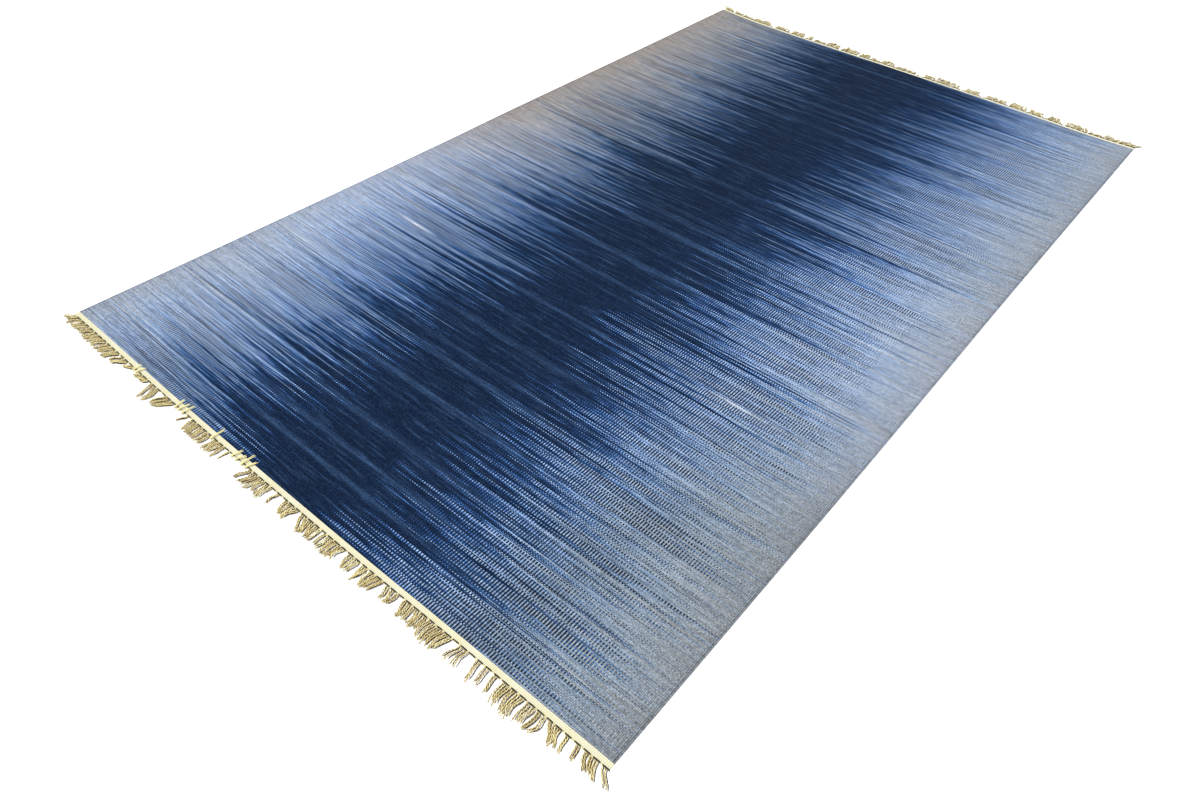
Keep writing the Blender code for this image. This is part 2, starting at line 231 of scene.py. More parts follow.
FAR_CLUMPS = in_mm(
    Clump, 4,
    (0.0010, 0.0260, -0.0120, 0.0160, 38, 0.0),
    (0.0300, 0.0560, 0.0240, 0.0520, 28, 0.0),
    (0.0575, 0.0860, 0.0550, 0.0830, 24, 2),
    (0.0880, 0.1120, 0.0890, 0.1080, 33, 2),
    (0.1135, 0.1380, 0.1100, 0.1310, 44, -1),
    (0.1520, 0.1880, 0.1505, 0.1840, 38, 2),
    (0.1970, 0.2340, 0.1950, 0.2270, 42, -2),
    (0.2410, 0.2560, 0.2390, 0.2520, 46, 0.0),
    (0.2600, 0.2895, 0.2610, 0.2890, 28, 1),
    (0.2920, 0.3270, 0.2980, 0.3210, 47, 0.0),
    (0.3310, 0.3740, 0.3370, 0.3710, 46, 2),
    (0.3775, 0.4040, 0.3810, 0.4040, 40, 0.0),
    (0.4090, 0.4305, 0.4100, 0.4300, 26, 0.0),
    (0.4320, 0.4660, 0.4370, 0.4630, 46, 0.0),
    (0.4700, 0.5170, 0.4710, 0.5150, 28, 3),
    (0.5410, 0.5655, 0.5385, 0.5620, 38, 0.0),
    (0.5670, 0.6230, 0.5690, 0.6190, 45, -1),
    (0.6370, 0.6690, 0.6400, 0.6650, 41, 0.0),
    (0.6840, 0.7300, 0.6820, 0.7270, 41, 2),
    (0.7370, 0.7760, 0.7410, 0.7710, 48, -2),
    (0.7800, 0.8120, 0.7785, 0.8090, 43, 0.0),
    (0.8175, 0.8510, 0.8220, 0.8430, 46, 0.0),
    (0.8586, 0.9050, 0.8570, 0.8990, 43, 2),
    (0.9070, 0.9320, 0.9120, 0.9365, 20, 0.0),
    (0.9345, 0.9610, 0.9405, 0.9655, 37, 0.0),
    (0.9630, 0.9985, 0.9725, 1.0090, 40, 0.0),
)
NEAR_FLIPS = in_mm(
    Flip, 1,
    (0.1705, -3, 22), (0.1765, 6, 20),
    (0.2740, -4, 27), (0.2810, 5, 25), (0.2900, 3, 29),
    (0.3555, 1, 37),
    (0.4000, 7, 27), (0.4090, 10, 21), (0.4205, 1, 32),
    (0.4285, 8, 25),
)


@dataclass(frozen=True)
class EndPlan:
    """What is known of one end: which way it faces, how it bows, its clumps and its flipped ends."""

    sign: float
    bow: tuple[Bow, ...]
    clumps: tuple[Clump, ...]
    flips: tuple[Flip, ...]
    unruliness: float


class End(Enum):
    """The two ends of the rug."""

    NEAR = EndPlan(-1.0, NEAR_BOW, NEAR_CLUMPS, NEAR_FLIPS, 0.35)
    FAR = EndPlan(1.0, FAR_BOW, FAR_CLUMPS, (), 1.0)

    @property
    def label(self) -> str:
        """The word that names this end's pieces."""
        return self.name.lower()


@dataclass(frozen=True)
class Outline:
    """The rug's plan, which is that of its solids."""

    width: float = WIDTH
    length: float = FIELD_LENGTH
    divisions: int = 40

    @staticmethod
    def smooth(bow: Sequence[Bow], at: float) -> float:
        """Height of the smooth curve through a bow table.

        Args:
            bow: The table's rows, in order along the side.
            at: The share of the side.

        Returns:
            How far the outline bows outward there, in metres.
        """
        places = [row.at for row in bow]
        last = len(bow) - 1
        first = min(max(bisect_right(places, at) - 1, 0), last - 1)

        def slope(i: int) -> float:
            """Slope of the curve at a row, from the rows beside it."""
            before, after = bow[max(i - 1, 0)], bow[min(i + 1, last)]
            return (after.out - before.out) / (after.at - before.at)

        here, there = bow[first], bow[first + 1]
        span = there.at - here.at
        u = min(max((at - here.at) / span, 0.0), 1.0)
        rise = 3 * u * u - 2 * u ** 3
        leave = u ** 3 - 2 * u * u + u
        arrive = u ** 3 - u * u
        return (here.out + rise * (there.out - here.out)
                + span * (leave * slope(first) + arrive * slope(first + 1)))

    def side_x(self, along: float) -> tuple[float, float]:
        """X of both long edges.

        Args:
            along: The share of the length.

        Returns:
            X of the left and of the right edge.
        """
        return (-self.width / 2 - self.smooth(LEFT_BOW, along),
                self.width / 2 + self.smooth(RIGHT_BOW, along))

    def division(self, index: int) -> float:
        """Share of the width at one of the end's divisions, which crowd towards the corners."""
        return 0.5 - 0.5 * math.cos(math.pi * index / self.divisions)

    def end_y(self, end: End, across: float, outside: float = 0.0) -> float:
        """Y of a line that runs along an end.

        Args:
            end: Which end.
            across: The share of the width.
            outside: How far the line lies outside the field.

        Returns:
            Y in metres.
        """
        across = min(max(across, 0.0), 1.0)
        turn = math.acos(1 - 2 * across) / math.pi * self.divisions
        first = min(int(turn), self.divisions - 1)
        low, high = self.division(first), self.division(first + 1)
        u = (across - low) / (high - low)
        out = (1 - u) * self.smooth(end.value.bow, low) + u * self.smooth(end.value.bow, high)
        return end.value.sign * (self.length / 2 + out + outside)

    def end_x(self, end: End, across: float) -> float:
        """X at a share of the width, on an end of the field."""
        left, right = self.side_x(0.0 if end is End.NEAR else 1.0)
        return left + across * (right - left)


OUTLINE = Outline()


class Columns(NamedTuple):
    """The cloth's lines along the warp: share of the width, both faces, height on its rib and parity."""

    share: Array
    top: Array
    bottom: Array
    crest: Array
    parity: Array


@dataclass(frozen=True)
class RibbedSection:
    """The section of the cloth across its warp ribs and its two corded selvedges."""

    thickness: float = FIELD_THICKNESS
    rib_depth: float = 0.55 * MM
    steps: int = 3

    def columns(self) -> Columns:
        """Every line of points along the warp, from the left edge to the right one.

        Returns:
            The lines' places and heights, as arrays of one length.
        """
        rows = [(row.inset / WIDTH, row.top, row.bottom, 0.6, 0) for row in SELVEDGE]
        for step in range(RIB_COUNT * self.steps + 1):
            rib, within = divmod(step, self.steps)
            crest = (1 - math.cos(2 * math.pi * within / self.steps)) / 1.5
            sunk = self.rib_depth * (1 - crest)
            share = (SELVEDGE_WIDTH + RIB_PITCH * step / self.steps) / WIDTH
            rows.append((share, self.thickness - sunk, 0.8 * sunk, crest, rib % 2))
        rows += [(1 - row.inset / WIDTH, row.top, row.bottom, 0.6, 0) for row in reversed(SELVEDGE)]
        return Columns(*np.array(rows).T)


@dataclass
class Draft:
    """A piece's points, faces and maps, gathered before they become a mesh."""

    name: str
    points: list[Point] = field(default_factory=list)
    faces: list[tuple[int, ...]] = field(default_factory=list)
    corners: dict[str, list[tuple[float, float]]] = field(default_factory=dict)

    def grid(self, points: Array, maps: dict[str, Array], closed: bool = False) -> Array:
        """Add a net of four-sided faces.

        Args:
            points: Rows of points, of shape (rows, columns, 3).
            maps: For each map, rows of places of shape (rows, columns, 2), with one column more
                where the net is closed.
            closed: Whether the last column joins the first.

        Returns:
            The points' numbers, of shape (rows, columns).
        """
        rows, columns = points.shape[:2]
        numbers = len(self.points) + np.arange(rows * columns).reshape(rows, columns)
        self.points.extend(map(tuple, points.reshape(-1, 3).tolist()))
        ring = np.concatenate([numbers, numbers[:, :1]], axis=1) if closed else numbers
        quads = np.stack([ring[:-1, :-1], ring[:-1, 1:], ring[1:, 1:], ring[1:, :-1]], axis=-1)
        self.faces.extend(map(tuple, quads.reshape(-1, 4).tolist()))
        for name, places in maps.items():
            loops = np.stack(
                [places[:-1, :-1], places[:-1, 1:], places[1:, 1:], places[1:, :-1]], axis=2)
            self.corners.setdefault(name, []).extend(map(tuple, loops.reshape(-1, 2).tolist()))
        return numbers

    def face(self, numbers: Sequence[int], maps: dict[str, Sequence[tuple[float, float]]]) -> None:
        """Add one face.

        Args:
            numbers: Its points' numbers, in order round it.
            maps: For each map, a place for each corner.
        """
        self.faces.append(tuple(int(number) for number in numbers))
        for name, places in maps.items():
            self.corners.setdefault(name, []).extend((float(u), float(v)) for u, v in places)

    def finish(self, material: bpy.types.Material, slot: str, replaced: Sequence[str] = (),
               sharp_degrees: float = 70.0) -> bpy.types.Object:
        """Turn the draft into a piece of the rug.

        Args:
            material: The piece's finish.
            slot: A material slot's name; not used.
            replaced: The CAD nodes that the piece stands for.
            sharp_degrees: Edges that turn by more than this stay sharp.

        Returns:
            The piece, which rides with the rug.
        """
        mesh = bpy.data.meshes.new(self.name)
        mesh.from_pydata(self.points, [], self.faces)
        for name, places in self.corners.items():
            layer = mesh.uv_layers.new(name=name)
            layer.uv.foreach_set("vector", np.array(places, dtype=np.float32).ravel())
        shape = bmesh.new()
        shape.from_mesh(mesh)
        bmesh.ops.recalc_face_normals(shape, faces=shape.faces)
        shape.to_mesh(mesh)
        shape.free()
        mesh.shade_smooth()
        mesh.set_sharp_from_angle(angle=math.radians(sharp_degrees))
        mesh.materials.append(material)
        piece = bpy.data.objects.new(self.name, mesh)
        bpy.context.scene.collection.objects.link(piece)
        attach(piece, BODY)
        if replaced:
            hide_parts(*replaced)
        mesh.calc_loop_triangles()
        LOG.info("%s: %d triangles", self.name, len(mesh.loop_triangles))
        return piece


class Noise(NamedTuple):
    """Noise along a line: waves a metre, octaves, how far it reaches, where it starts, its roughness."""

    scale: float
    detail: float
    reach: float = 1.0
    start: float = 0.0
    roughness: float = 0.5


class Grain(NamedTuple):
    """Noise over the cloth: changes a metre across and along it, octaves, how far it reaches."""

    across: float
    along: float
    detail: float
    reach: float = 1.0


class Rise(NamedTuple):
    """A smooth step: where it starts, where it is full, and its height."""

    start: float
    full: float
    height: float = 1.0


class Peak(NamedTuple):
    """A smooth peak: where it stands, its half width and its height."""

    at: float
    half_width: float
    height: float = 1.0


class Wire:
    """A value that runs between shader nodes, so that shader maths reads as plain arithmetic."""

    def __init__(self, graph: "Graph", socket: bpy.types.NodeSocket) -> None:
        """Keep the output socket that gives the value."""
        self.graph = graph
        self.socket = socket

    def maths(self, operation: str, *others: "Wire | float") -> "Wire":
        """A Math node whose first value is this one."""
        return self.graph.node("ShaderNodeMath", {"operation": operation}, [self, *others])

    def __add__(self, other: "Wire | float") -> "Wire":
        """This plus the other."""
        return self.maths("ADD", other)

    def __sub__(self, other: "Wire | float") -> "Wire":
        """This less the other."""
        return self.maths("SUBTRACT", other)

    def __rsub__(self, other: float) -> "Wire":
        """The other less this."""
        return self.graph.node("ShaderNodeMath", {"operation": "SUBTRACT"}, [other, self])

    def __mul__(self, other: "Wire | float") -> "Wire":
        """This times the other."""
        return self.maths("MULTIPLY", other)

    def __truediv__(self, other: "Wire | float") -> "Wire":
        """This over the other."""
        return self.maths("DIVIDE", other)

    __radd__ = __add__
    __rmul__ = __mul__

    def floor(self) -> "Wire":
        """The whole number below."""
        return self.maths("FLOOR")

    def fraction(self) -> "Wire":
        """What is left above the whole number below."""
        return self.maths("FRACT")

    def size(self) -> "Wire":
        """The value without its sign."""
        return self.maths("ABSOLUTE")

    def least(self, other: "Wire | float") -> "Wire":
        """The smaller of this and the other."""
        return self.maths("MINIMUM", other)

    def most(self, other: "Wire | float") -> "Wire":
        """The larger of this and the other."""
        return self.maths("MAXIMUM", other)

    def ease(self, low: float, high: float) -> "Wire":
        """Rises smoothly from 0 to 1 as this goes from low to high, or falls where low is above high.

        Args:
            low: Where it is 0.
            high: Where it is 1.

        Returns:
            The smooth step's height.
        """
        if low > high:
            return 1 - self.ease(high, low)
        return self.graph.node("ShaderNodeMapRange", {"interpolation_type": "SMOOTHSTEP"},
                               {"Value": self, "From Min": low, "From Max": high})

    def rise(self, step: Rise) -> "Wire":
        """The height of a smooth step where this is."""
        return self.ease(step.start, step.full) * step.height

    def peak(self, peak: Peak) -> "Wire":
        """The height of a smooth peak where this is."""
        return (self - peak.at).size().ease(peak.half_width, 0.0) * peak.height

    def dome(self) -> "Wire":
        """1 where this is 0, falling in a round arch to 0 where this is -1 or 1."""
        return 1 - self * self


class Graph:
    """One material's node tree, built one node at a time."""

    def __init__(self, name: str) -> None:
        """Start a material with nothing but its Principled shader and its output."""
        self.material = bpy.data.materials.new(name)
        self.material.use_nodes = True
        self.tree = self.material.node_tree
        self.shader = self.tree.nodes["Principled BSDF"]

    def node(self, kind: str, settings: dict[str, object] | None = None,
             sockets: dict | Sequence | None = None, output: int = 0) -> Wire:
        """Add a node.

        Args:
            kind: The node's type.
            settings: Its own settings, which are set first. "stops" gives a ramp's places and colours.
            sockets: Values or wires for its inputs, by name, by number, or in order.
            output: The number of the output to give back.

        Returns:
            The wire from that output.
        """
        made = self.tree.nodes.new(kind)
        for name, value in (settings or {}).items():
            if name == "stops":
                self._set_stops(made.color_ramp, value)
            else:
                setattr(made, name, value)
        pairs = sockets.items() if isinstance(sockets, dict) else enumerate(sockets or ())
        for key, value in pairs:
            self._feed(made.inputs[key], value)
        return Wire(self, made.outputs[output])

    @staticmethod
    def _set_stops(ramp: bpy.types.ColorRamp, stops: Sequence[tuple[float, Colour]]) -> None:
        """Give a ramp its stops, in order."""
        while len(ramp.elements) < len(stops):
            ramp.elements.new(1.0)
        for element, (place, colour) in zip(ramp.elements, stops):
            element.position = place
            element.color = colour

    def _feed(self, socket: bpy.types.NodeSocket, value: object) -> None:
        """Link a wire to an input, or set its value."""
        if isinstance(value, Wire):
            self.tree.links.new(value.socket, socket)
        else:
            socket.default_value = value

    def map_axes(self, name: str) -> tuple[Wire, Wire]:
        """Both numbers of one of the piece's maps."""
        place = self.node("ShaderNodeUVMap", {"uv_map": name})
        return tuple(self.node("ShaderNodeSeparateXYZ", {}, [place], axis) for axis in (0, 1))

    def point(self, x: Wire | float, y: Wire | float, z: Wire | float = 0.0) -> Wire:
        """Three numbers as a vector."""
        return self.node("ShaderNodeCombineXYZ", {}, [x, y, z])

    def wander(self, along: Wire, noise: Noise) -> Wire:
        """Smooth noise along one number, about as often above 0 as below.

        Args:
            along: The number.
            noise: The noise's sizes.

        Returns:
            The noise, from minus half its reach to half its reach.
        """
        made = self.node("ShaderNodeTexNoise", {"noise_dimensions": "1D"},
                         {"W": along + noise.start, "Scale": noise.scale, "Detail": noise.detail,
                          "Roughness": noise.roughness})
        return (made - 0.5) * noise.reach

    def cloud(self, place: Wire, scale: float = 1.0, detail: float = 0.0) -> Wire:
        """Smooth noise over a place, about as often above 0 as below.

        Args:
            place: The place, as a vector.
            scale: How often the noise changes for each unit of the place.
            detail: Its octaves.

        Returns:
            The noise, from -0.5 to 0.5.
        """
        made = self.node("ShaderNodeTexNoise", {"noise_dimensions": "3D"},
                         {"Vector": place, "Scale": scale, "Detail": detail})
        return made - 0.5

    def grain(self, across: Wire, along: Wire, grain: Grain, start: Wire | float = 0.0) -> Wire:
        """Smooth noise over the cloth, longer one way than the other where its grain is.

        Args:
            across: The place across the rug, in metres.
            along: The place along it, in metres.
            grain: The grain's sizes.
            start: Where the noise starts, so that two grains differ.

        Returns:
            The noise, from minus half its reach to half its reach.
        """
        place = self.point(across * grain.across, along * grain.along + start)
        return self.cloud(place, 1.0, grain.detail) * grain.reach

    def lot(self, number: Wire) -> Wire:
        """A number from -0.5 to 0.5 that is drawn anew for each number."""
        return self.node("ShaderNodeTexWhiteNoise", {"noise_dimensions": "1D"}, {"W": number}) - 0.5

    def ramp(self, value: Wire, stops: Sequence[tuple[float, Colour]]) -> Wire:
        """The colour for a value, from stops."""
        return self.node("ShaderNodeValToRGB", {"stops": stops}, {"Fac": value})

    def mix(self, share: Wire | float, first: Wire | Colour, second: Wire | Colour) -> Wire:
        """A colour that goes from the first to the second with share."""
        return self.node("ShaderNodeMix", {"data_type": "RGBA"}, {0: share, 6: first, 7: second}, 2)

    def toned(self, share: Wire | float, colour: Wire, shade: Colour) -> Wire:
        """A colour that is multiplied by a shade as share goes from 0 to 1."""
        return self.node("ShaderNodeMix", {"data_type": "RGBA", "blend_type": "MULTIPLY"},
                         {0: share, 6: colour, 7: shade}, 2)

    def scaled(self, colour: Wire, factor: Wire) -> Wire:
        """A colour made lighter or darker."""
        return self.node("ShaderNodeVectorMath", {"operation": "SCALE"}, {0: colour, "Scale": factor})

    def surface(self, colour: Wire, roughness: Wire | float, height: Wire | None = None,
                relief: float = 0.0, sheen: float = 0.0) -> bpy.types.Material:
        """Feed the shader.

        Args:
            colour: The base colour.
            roughness: The roughness.
            height: The bump's height, about from 0 to 1.
            relief: What a height of 1 stands for, in metres.
            sheen: The weight of the soft edge light of fibres.

        Returns:
            The finished material.
        """
        self._feed(self.shader.inputs["Base Color"], colour)
        self._feed(self.shader.inputs["Roughness"], roughness)
        self.shader.inputs["Specular IOR Level"].default_value = 0.02
        self.shader.inputs["Sheen Weight"].default_value = sheen
        self.shader.inputs["Sheen Roughness"].default_value = 0.5
        if height is not None:
            normal = self.node("ShaderNodeBump", {}, {"Height": height, "Distance": relief,
                                                      "Strength": 1.0})
            self._feed(self.shader.inputs["Normal"], normal)
        return self.material


class Weave(NamedTuple):
    """Where a shading point lies in the weave."""

    side: Wire
    column: Wire
    parity: Wire
    shot: Wire
    within: Wire


def weave_at(graph: Graph, across: Wire, along: Wire, pick: float) -> Weave:
    """Find the float of weft that shows at a place of the cloth.

    Every pick passes over one warp and under the next, so each rib shows every second pick.

    Args:
        graph: The material's graph.
        across: Distance from the left edge, in metres.
        along: Distance along the warp, in metres.
        pick: Distance from one pick to the next.

    Returns:
        The place across the rib and along the float, both from -1 to 1, with the rib's number and
        parity and the pick's number.
    """
    rib = (across - SELVEDGE_WIDTH) / RIB_PITCH
    column = rib.floor()
    parity = (column * 0.5).fraction() * 2
    floats = (along / pick + parity) * 0.5
    number = floats.floor()
    side = (rib - column) * 2 - 1
    return Weave(side, column, parity, number * 2 - parity, (floats - number) * 2 - 1)


@dataclass(frozen=True)
class FieldFinish:
    """Matt wool weft, space-dyed: each pick is navy at the middle and pale at both edges.

    The dye's places and reaches are shares of half the width. A tint of painted shade multiplies the
    colour under it.
    """

    navy: Colour = srgb(11, 29, 55)
    ink: Colour = srgb(17, 36, 66)
    washed_blue: Colour = srgb(60, 88, 126)
    deep_blue: Colour = srgb(38, 69, 119)
    mid_blue: Colour = srgb(51, 90, 150)
    cornflower: Colour = srgb(81, 123, 184)
    periwinkle: Colour = srgb(142, 174, 221)
    pale_blue: Colour = srgb(169, 181, 200)
    edge_grey: Colour = srgb(148, 154, 168)
    # Tints of painted shade, for the parts of the rug that lie in less light
    painted_shade_tint: Colour = (0.63, 0.61, 0.54, 1.0)
    painted_warm_shade: Colour = (0.79, 0.61, 0.44, 1.0)
    lint: Colour = srgb(176, 194, 220)
    slub_white: Colour = srgb(222, 230, 242)
    # The middle line, and how the dye of all picks strays together
    middle: Noise = Noise(1.3, 1.0, 0.05, 4.0)
    middle_aside: float = 0.014
    broad: Noise = Noise(2.6, 2.0, 0.06, 9.0)
    # The ladders: bands of picks in which one shuttle holds its dye further out than the other
    band_width: float = 28.0 * MM
    band_wobble: Noise = Noise(24.0, 2.0, 60.0 * MM, 77.0)
    hold: float = 0.16
    hold_spread: float = 0.20
    one_sided: float = 0.07
    shuttle_apart: float = 19.3
    ripple_apart: float = 31.7
    # How single picks and short stretches of them stray
    ripple: Noise = Noise(170.0, 3.0, 0.20, 0.0, 0.65)
    long_streaks: Grain = Grain(4.5, 250.0, 2.0, 0.46)
    short_streaks: Grain = Grain(15.0, 560.0, 1.0, 0.52)
    streak_tone: float = 1.9
    own: float = 0.20
    stray: float = 0.26
    pale_pick: Rise = Rise(0.36, 0.42, 0.30)
    dark_pick: Rise = Rise(-0.39, -0.44, -0.36)
    # How much of that straying shows from the middle to the edge
    calm: float = 0.45
    stirred: Rise = Rise(0.0, 0.2, 0.58)
    edge_calm: Rise = Rise(0.76, 1.06, -0.48)
    # From a place in the rug to a place on the dye's ramp, and the palest that a place may be
    steepness: float = 1.19
    inward: float = -0.126
    far_inward: float = -0.018
    palest: float = 0.58
    palest_slope: float = 0.40
    # Washed-out picks and worn patches in the dark middle
    washed: Noise = Noise(26.0, 2.0, 1.0, 133.0)
    washed_rise: Rise = Rise(0.02, 0.22)
    washed_inside: Rise = Rise(0.65, 0.2)
    washed_share: float = 0.30
    washed_streaks: float = 2.0
    patches: Grain = Grain(11.0, 150.0, 3.0)
    patch_rise: Rise = Rise(0.0, 0.24)
    patch_inside: Rise = Rise(0.8, 0.1, 0.40)
    patch_apart: float = 5.0
    # One pale slub on each side
    slub_along: Peak = Peak(0.874, 6.5 * MM)
    slub_out: Peak = Peak(0.64, 0.12, 0.8)
    slub_wave: float = 0.02
    # Painted shade: where the cloth is painted darker and where warmer, as the light falls across it, in
    # shares of the width and the length
    near_end: Rise = Rise(0.42, 0.04)
    near_right: Rise = Rise(0.60, 0.90, 0.88)
    near_left: Rise = Rise(0.40, 0.12, 0.45)
    right_side: Rise = Rise(0.66, 0.96)
    right_shade_base: float = 0.48
    far_right_shade: Rise = Rise(0.3, 0.8, 0.22)
    left_side: Rise = Rise(0.66, 0.0)
    far_half: Rise = Rise(0.22, 0.62)
    # Loose fibres and lint
    fibres: Grain = Grain(420.0, 420.0, 3.0)
    fibre_rise: Rise = Rise(-0.1, 0.3, 0.014)
    specks: Grain = Grain(95.0, 95.0, 1.0)
    speck_rise: Rise = Rise(0.27, 0.36, 0.08)
    float_fuzz: float = 0.017
    # Painted light and shade in the relief: shade in the grooves, highlights on the selvedge cords
    brightness: float = 0.86
    rib_groove: Rise = Rise(0.50, 1.0, 0.42)
    float_groove: Rise = Rise(0.60, 1.0, 0.17)
    cord_groove_shade: Peak = Peak(3.7 * MM, 0.8 * MM, 0.45)
    cord_painted_highlights: tuple[Peak, Peak] = (Peak(1.7 * MM, 1.2 * MM, 0.12), Peak(5.8 * MM, 1.2 * MM, 0.12))
    cord_wraps: tuple[Peak, Peak] = (Peak(1.8 * MM, 1.9 * MM), Peak(5.8 * MM, 1.9 * MM))
    cord_margin: float = 0.2 * MM
    pick_tone: float = 0.28
    float_tone: float = 0.48
    relief: float = 0.45 * MM
    valley: float = 0.45
    roughness: float = 0.88
    roughness_spread: float = 0.10

    def make(self) -> bpy.types.Material:
        """Build the material.

        Returns:
            The material of the woven field.
        """
        graph = Graph("field_weave")
        across_share, along_share = graph.map_axes(WEAVE_MAP)
        across, along = across_share * WIDTH, along_share * FIELD_LENGTH
        weave = weave_at(graph, across, along, PICK)
        middle = graph.wander(along, self.middle) + self.middle_aside
        signed = (across - WIDTH / 2) / (WIDTH / 2) + middle
        colour = self._dyed(graph, signed, along, across, weave)
        colour = self._painted_light_falloff(graph, colour, across_share, along_share)
        colour = self._dusted(graph, colour, across, along, weave)
        inset = across.least(WIDTH - across)
        colour = graph.scaled(colour, self._painted_relief_light(graph, weave, inset))
        in_cords = inset.ease(SELVEDGE_WIDTH + self.cord_margin, SELVEDGE_WIDTH - self.cord_margin)
        ribs = weave.side.dome() * (self.valley + (1 - self.valley) * weave.within.dome())
        height = ribs * (1 - in_cords) + self._higher(inset, self.cord_wraps) * in_cords
        roughness = self.roughness + self.roughness_spread * graph.lot(weave.shot)
        return graph.surface(colour, roughness, height, self.relief)

    def _dyed(self, graph: Graph, signed: Wire, along: Wire, across: Wire, weave: Weave) -> Wire:
        """The dye of the pick that shows.

        Two shuttles take turns, so their picks show on every second rib each. Each holds its dye further
        out or further in for a band of picks, which draws light and dark ladders where they differ.

        Args:
            graph: The material's graph.
            signed: The place across, from -1 at the left edge to 1 at the right one.
            along: The place along the rug, in metres.
            across: The place across the rug, in metres.
            weave: The place in the weave.

        Returns:
            The colour.
        """
        out = signed.size()
        pick = weave.shot * PICK
        shuttle = weave.parity * self.shuttle_apart
        long_streak = graph.grain(across, pick, self.long_streaks, shuttle)
        short_streak = graph.grain(across, pick, self.short_streaks, shuttle)
        lone = graph.lot(weave.shot + 3.1)
        shift = (self._ladders(graph, pick, signed, weave) + long_streak + short_streak
                 + graph.wander(pick + weave.parity * self.ripple_apart, self.ripple)
                 + graph.lot(weave.shot) * self.own + self._stray(graph, weave)
                 + lone.rise(self.pale_pick) + lone.rise(self.dark_pick))
        calm = self.calm + out.rise(self.stirred) + out.rise(self.edge_calm)
        place = (out * self.steepness + along * self.far_inward + self.inward
                 + graph.wander(pick, self.broad) + shift * calm)
        dyed = graph.ramp(place.least(self.palest + out * self.palest_slope), (
            (0.00, self.navy), (0.43, self.ink), (0.49, self.deep_blue), (0.54, self.mid_blue),
            (0.61, self.cornflower), (0.69, self.periwinkle), (0.91, self.pale_blue),
            (1.00, self.edge_grey),
        ))
        washed = graph.wander(pick, self.washed).rise(self.washed_rise) * out.rise(self.washed_inside)
        washed = washed * (self.washed_share + long_streak * self.washed_streaks)
        patches = graph.grain(across, pick, self.patches, self.patch_apart).rise(self.patch_rise)
        faded = washed + patches * out.rise(self.patch_inside)
        dyed = graph.mix(faded, dyed, self.washed_blue)
        dyed = graph.scaled(dyed, 1 + (long_streak + short_streak) * self.streak_tone)
        slub = (along + short_streak * self.slub_wave).peak(self.slub_along) * out.peak(self.slub_out)
        return graph.mix(slub, dyed, self.slub_white)

    def _ladders(self, graph: Graph, pick: Wire, signed: Wire, weave: Weave) -> Wire:
        """How far each shuttle's dye is held out or in for a band of picks.

        Args:
            graph: The material's graph.
            pick: The pick's place along the rug, in metres.
            signed: The place across, from -1 at the left edge to 1 at the right one.
            weave: The place in the weave.

        Returns:
            The shift of the dye.
        """
        band = ((pick + graph.wander(pick, self.band_wobble)) / self.band_width).floor()
        leader = graph.lot(band).ease(-0.01, 0.01) * 2 - 1
        held = leader * (weave.parity * 2 - 1) * (self.hold + graph.lot(band + 0.5) * self.hold_spread)
        return held + graph.lot(band * 1.7 + weave.parity * 13.1) * signed * self.one_sided

    def _stray(self, graph: Graph, weave: Weave) -> Wire:
        """The shift of single picks, of which only a few stray far."""
        stray = graph.lot(weave.shot + 0.5) * 2
        return stray * stray * stray * stray * stray * self.stray

    def _painted_light_falloff(self, graph: Graph, colour: Wire, across: Wire, along: Wire) -> Wire:
        """Painted shade: darker along the right edge and towards the near corners, warmer towards the far
        left one.

        Args:
            graph: The material's graph.
            colour: The dyed colour.
            across: The place across, as a share of the width.
            along: The place along, as a share of the length.

        Returns:
            The colour with its painted shade.
        """
        near = along.rise(self.near_end) * (across.rise(self.near_right) + across.rise(self.near_left))
        right = across.rise(self.right_side) * (self.right_shade_base + along.rise(self.far_right_shade))
        colour = graph.toned(near + right, colour, self.painted_shade_tint)
        warm = across.rise(self.left_side) * along.rise(self.far_half)
        return graph.toned(warm, colour, self.painted_warm_shade)

    def _dusted(self, graph: Graph, colour: Wire, across: Wire, along: Wire, weave: Weave) -> Wire:
        """Pale loose fibres over the floats, and a few larger specks of lint.

        Args:
            graph: The material's graph.
            colour: The colour under them.
            across: The place across the rug, in metres.
            along: The place along it, in metres.
            weave: The place in the weave.

        Returns:
            The colour with its fibres.
        """
        each_float = graph.lot(weave.column * 0.731 + weave.shot * 13.17) + 0.5
        fuzz = (each_float * each_float * self.float_fuzz
                + graph.grain(across, along, self.fibres).rise(self.fibre_rise)
                + graph.grain(across, along, self.specks).rise(self.speck_rise))
        return graph.mix(fuzz, colour, self.lint)

    @staticmethod
    def _higher(inset: Wire, peaks: tuple[Peak, Peak]) -> Wire:
        """The higher of two peaks at an inset from the edge, one over each of the selvedge's cords."""
        return inset.peak(peaks[0]).most(inset.peak(peaks[1]))

    def _painted_relief_light(self, graph: Graph, weave: Weave, inset: Wire) -> Wire:
        """Painted shade in the grooves of the ribs, between floats and beside the cords, and painted
        highlights on the cords.

        Args:
            graph: The material's graph.
            weave: The place in the weave.
            inset: The distance from the nearer long edge, in metres.

        Returns:
            The factor for the colour.
        """
        tone = (graph.lot(weave.shot + 0.37) * self.pick_tone
                + graph.lot(weave.column * 1.37 + weave.shot) * self.float_tone)
        grooves = weave.side.size().rise(self.rib_groove) + weave.within.size().rise(self.float_groove)
        lit = (self.brightness - grooves + tone) * (1 - inset.peak(self.cord_groove_shade))
        return lit + self._higher(inset, self.cord_painted_highlights)


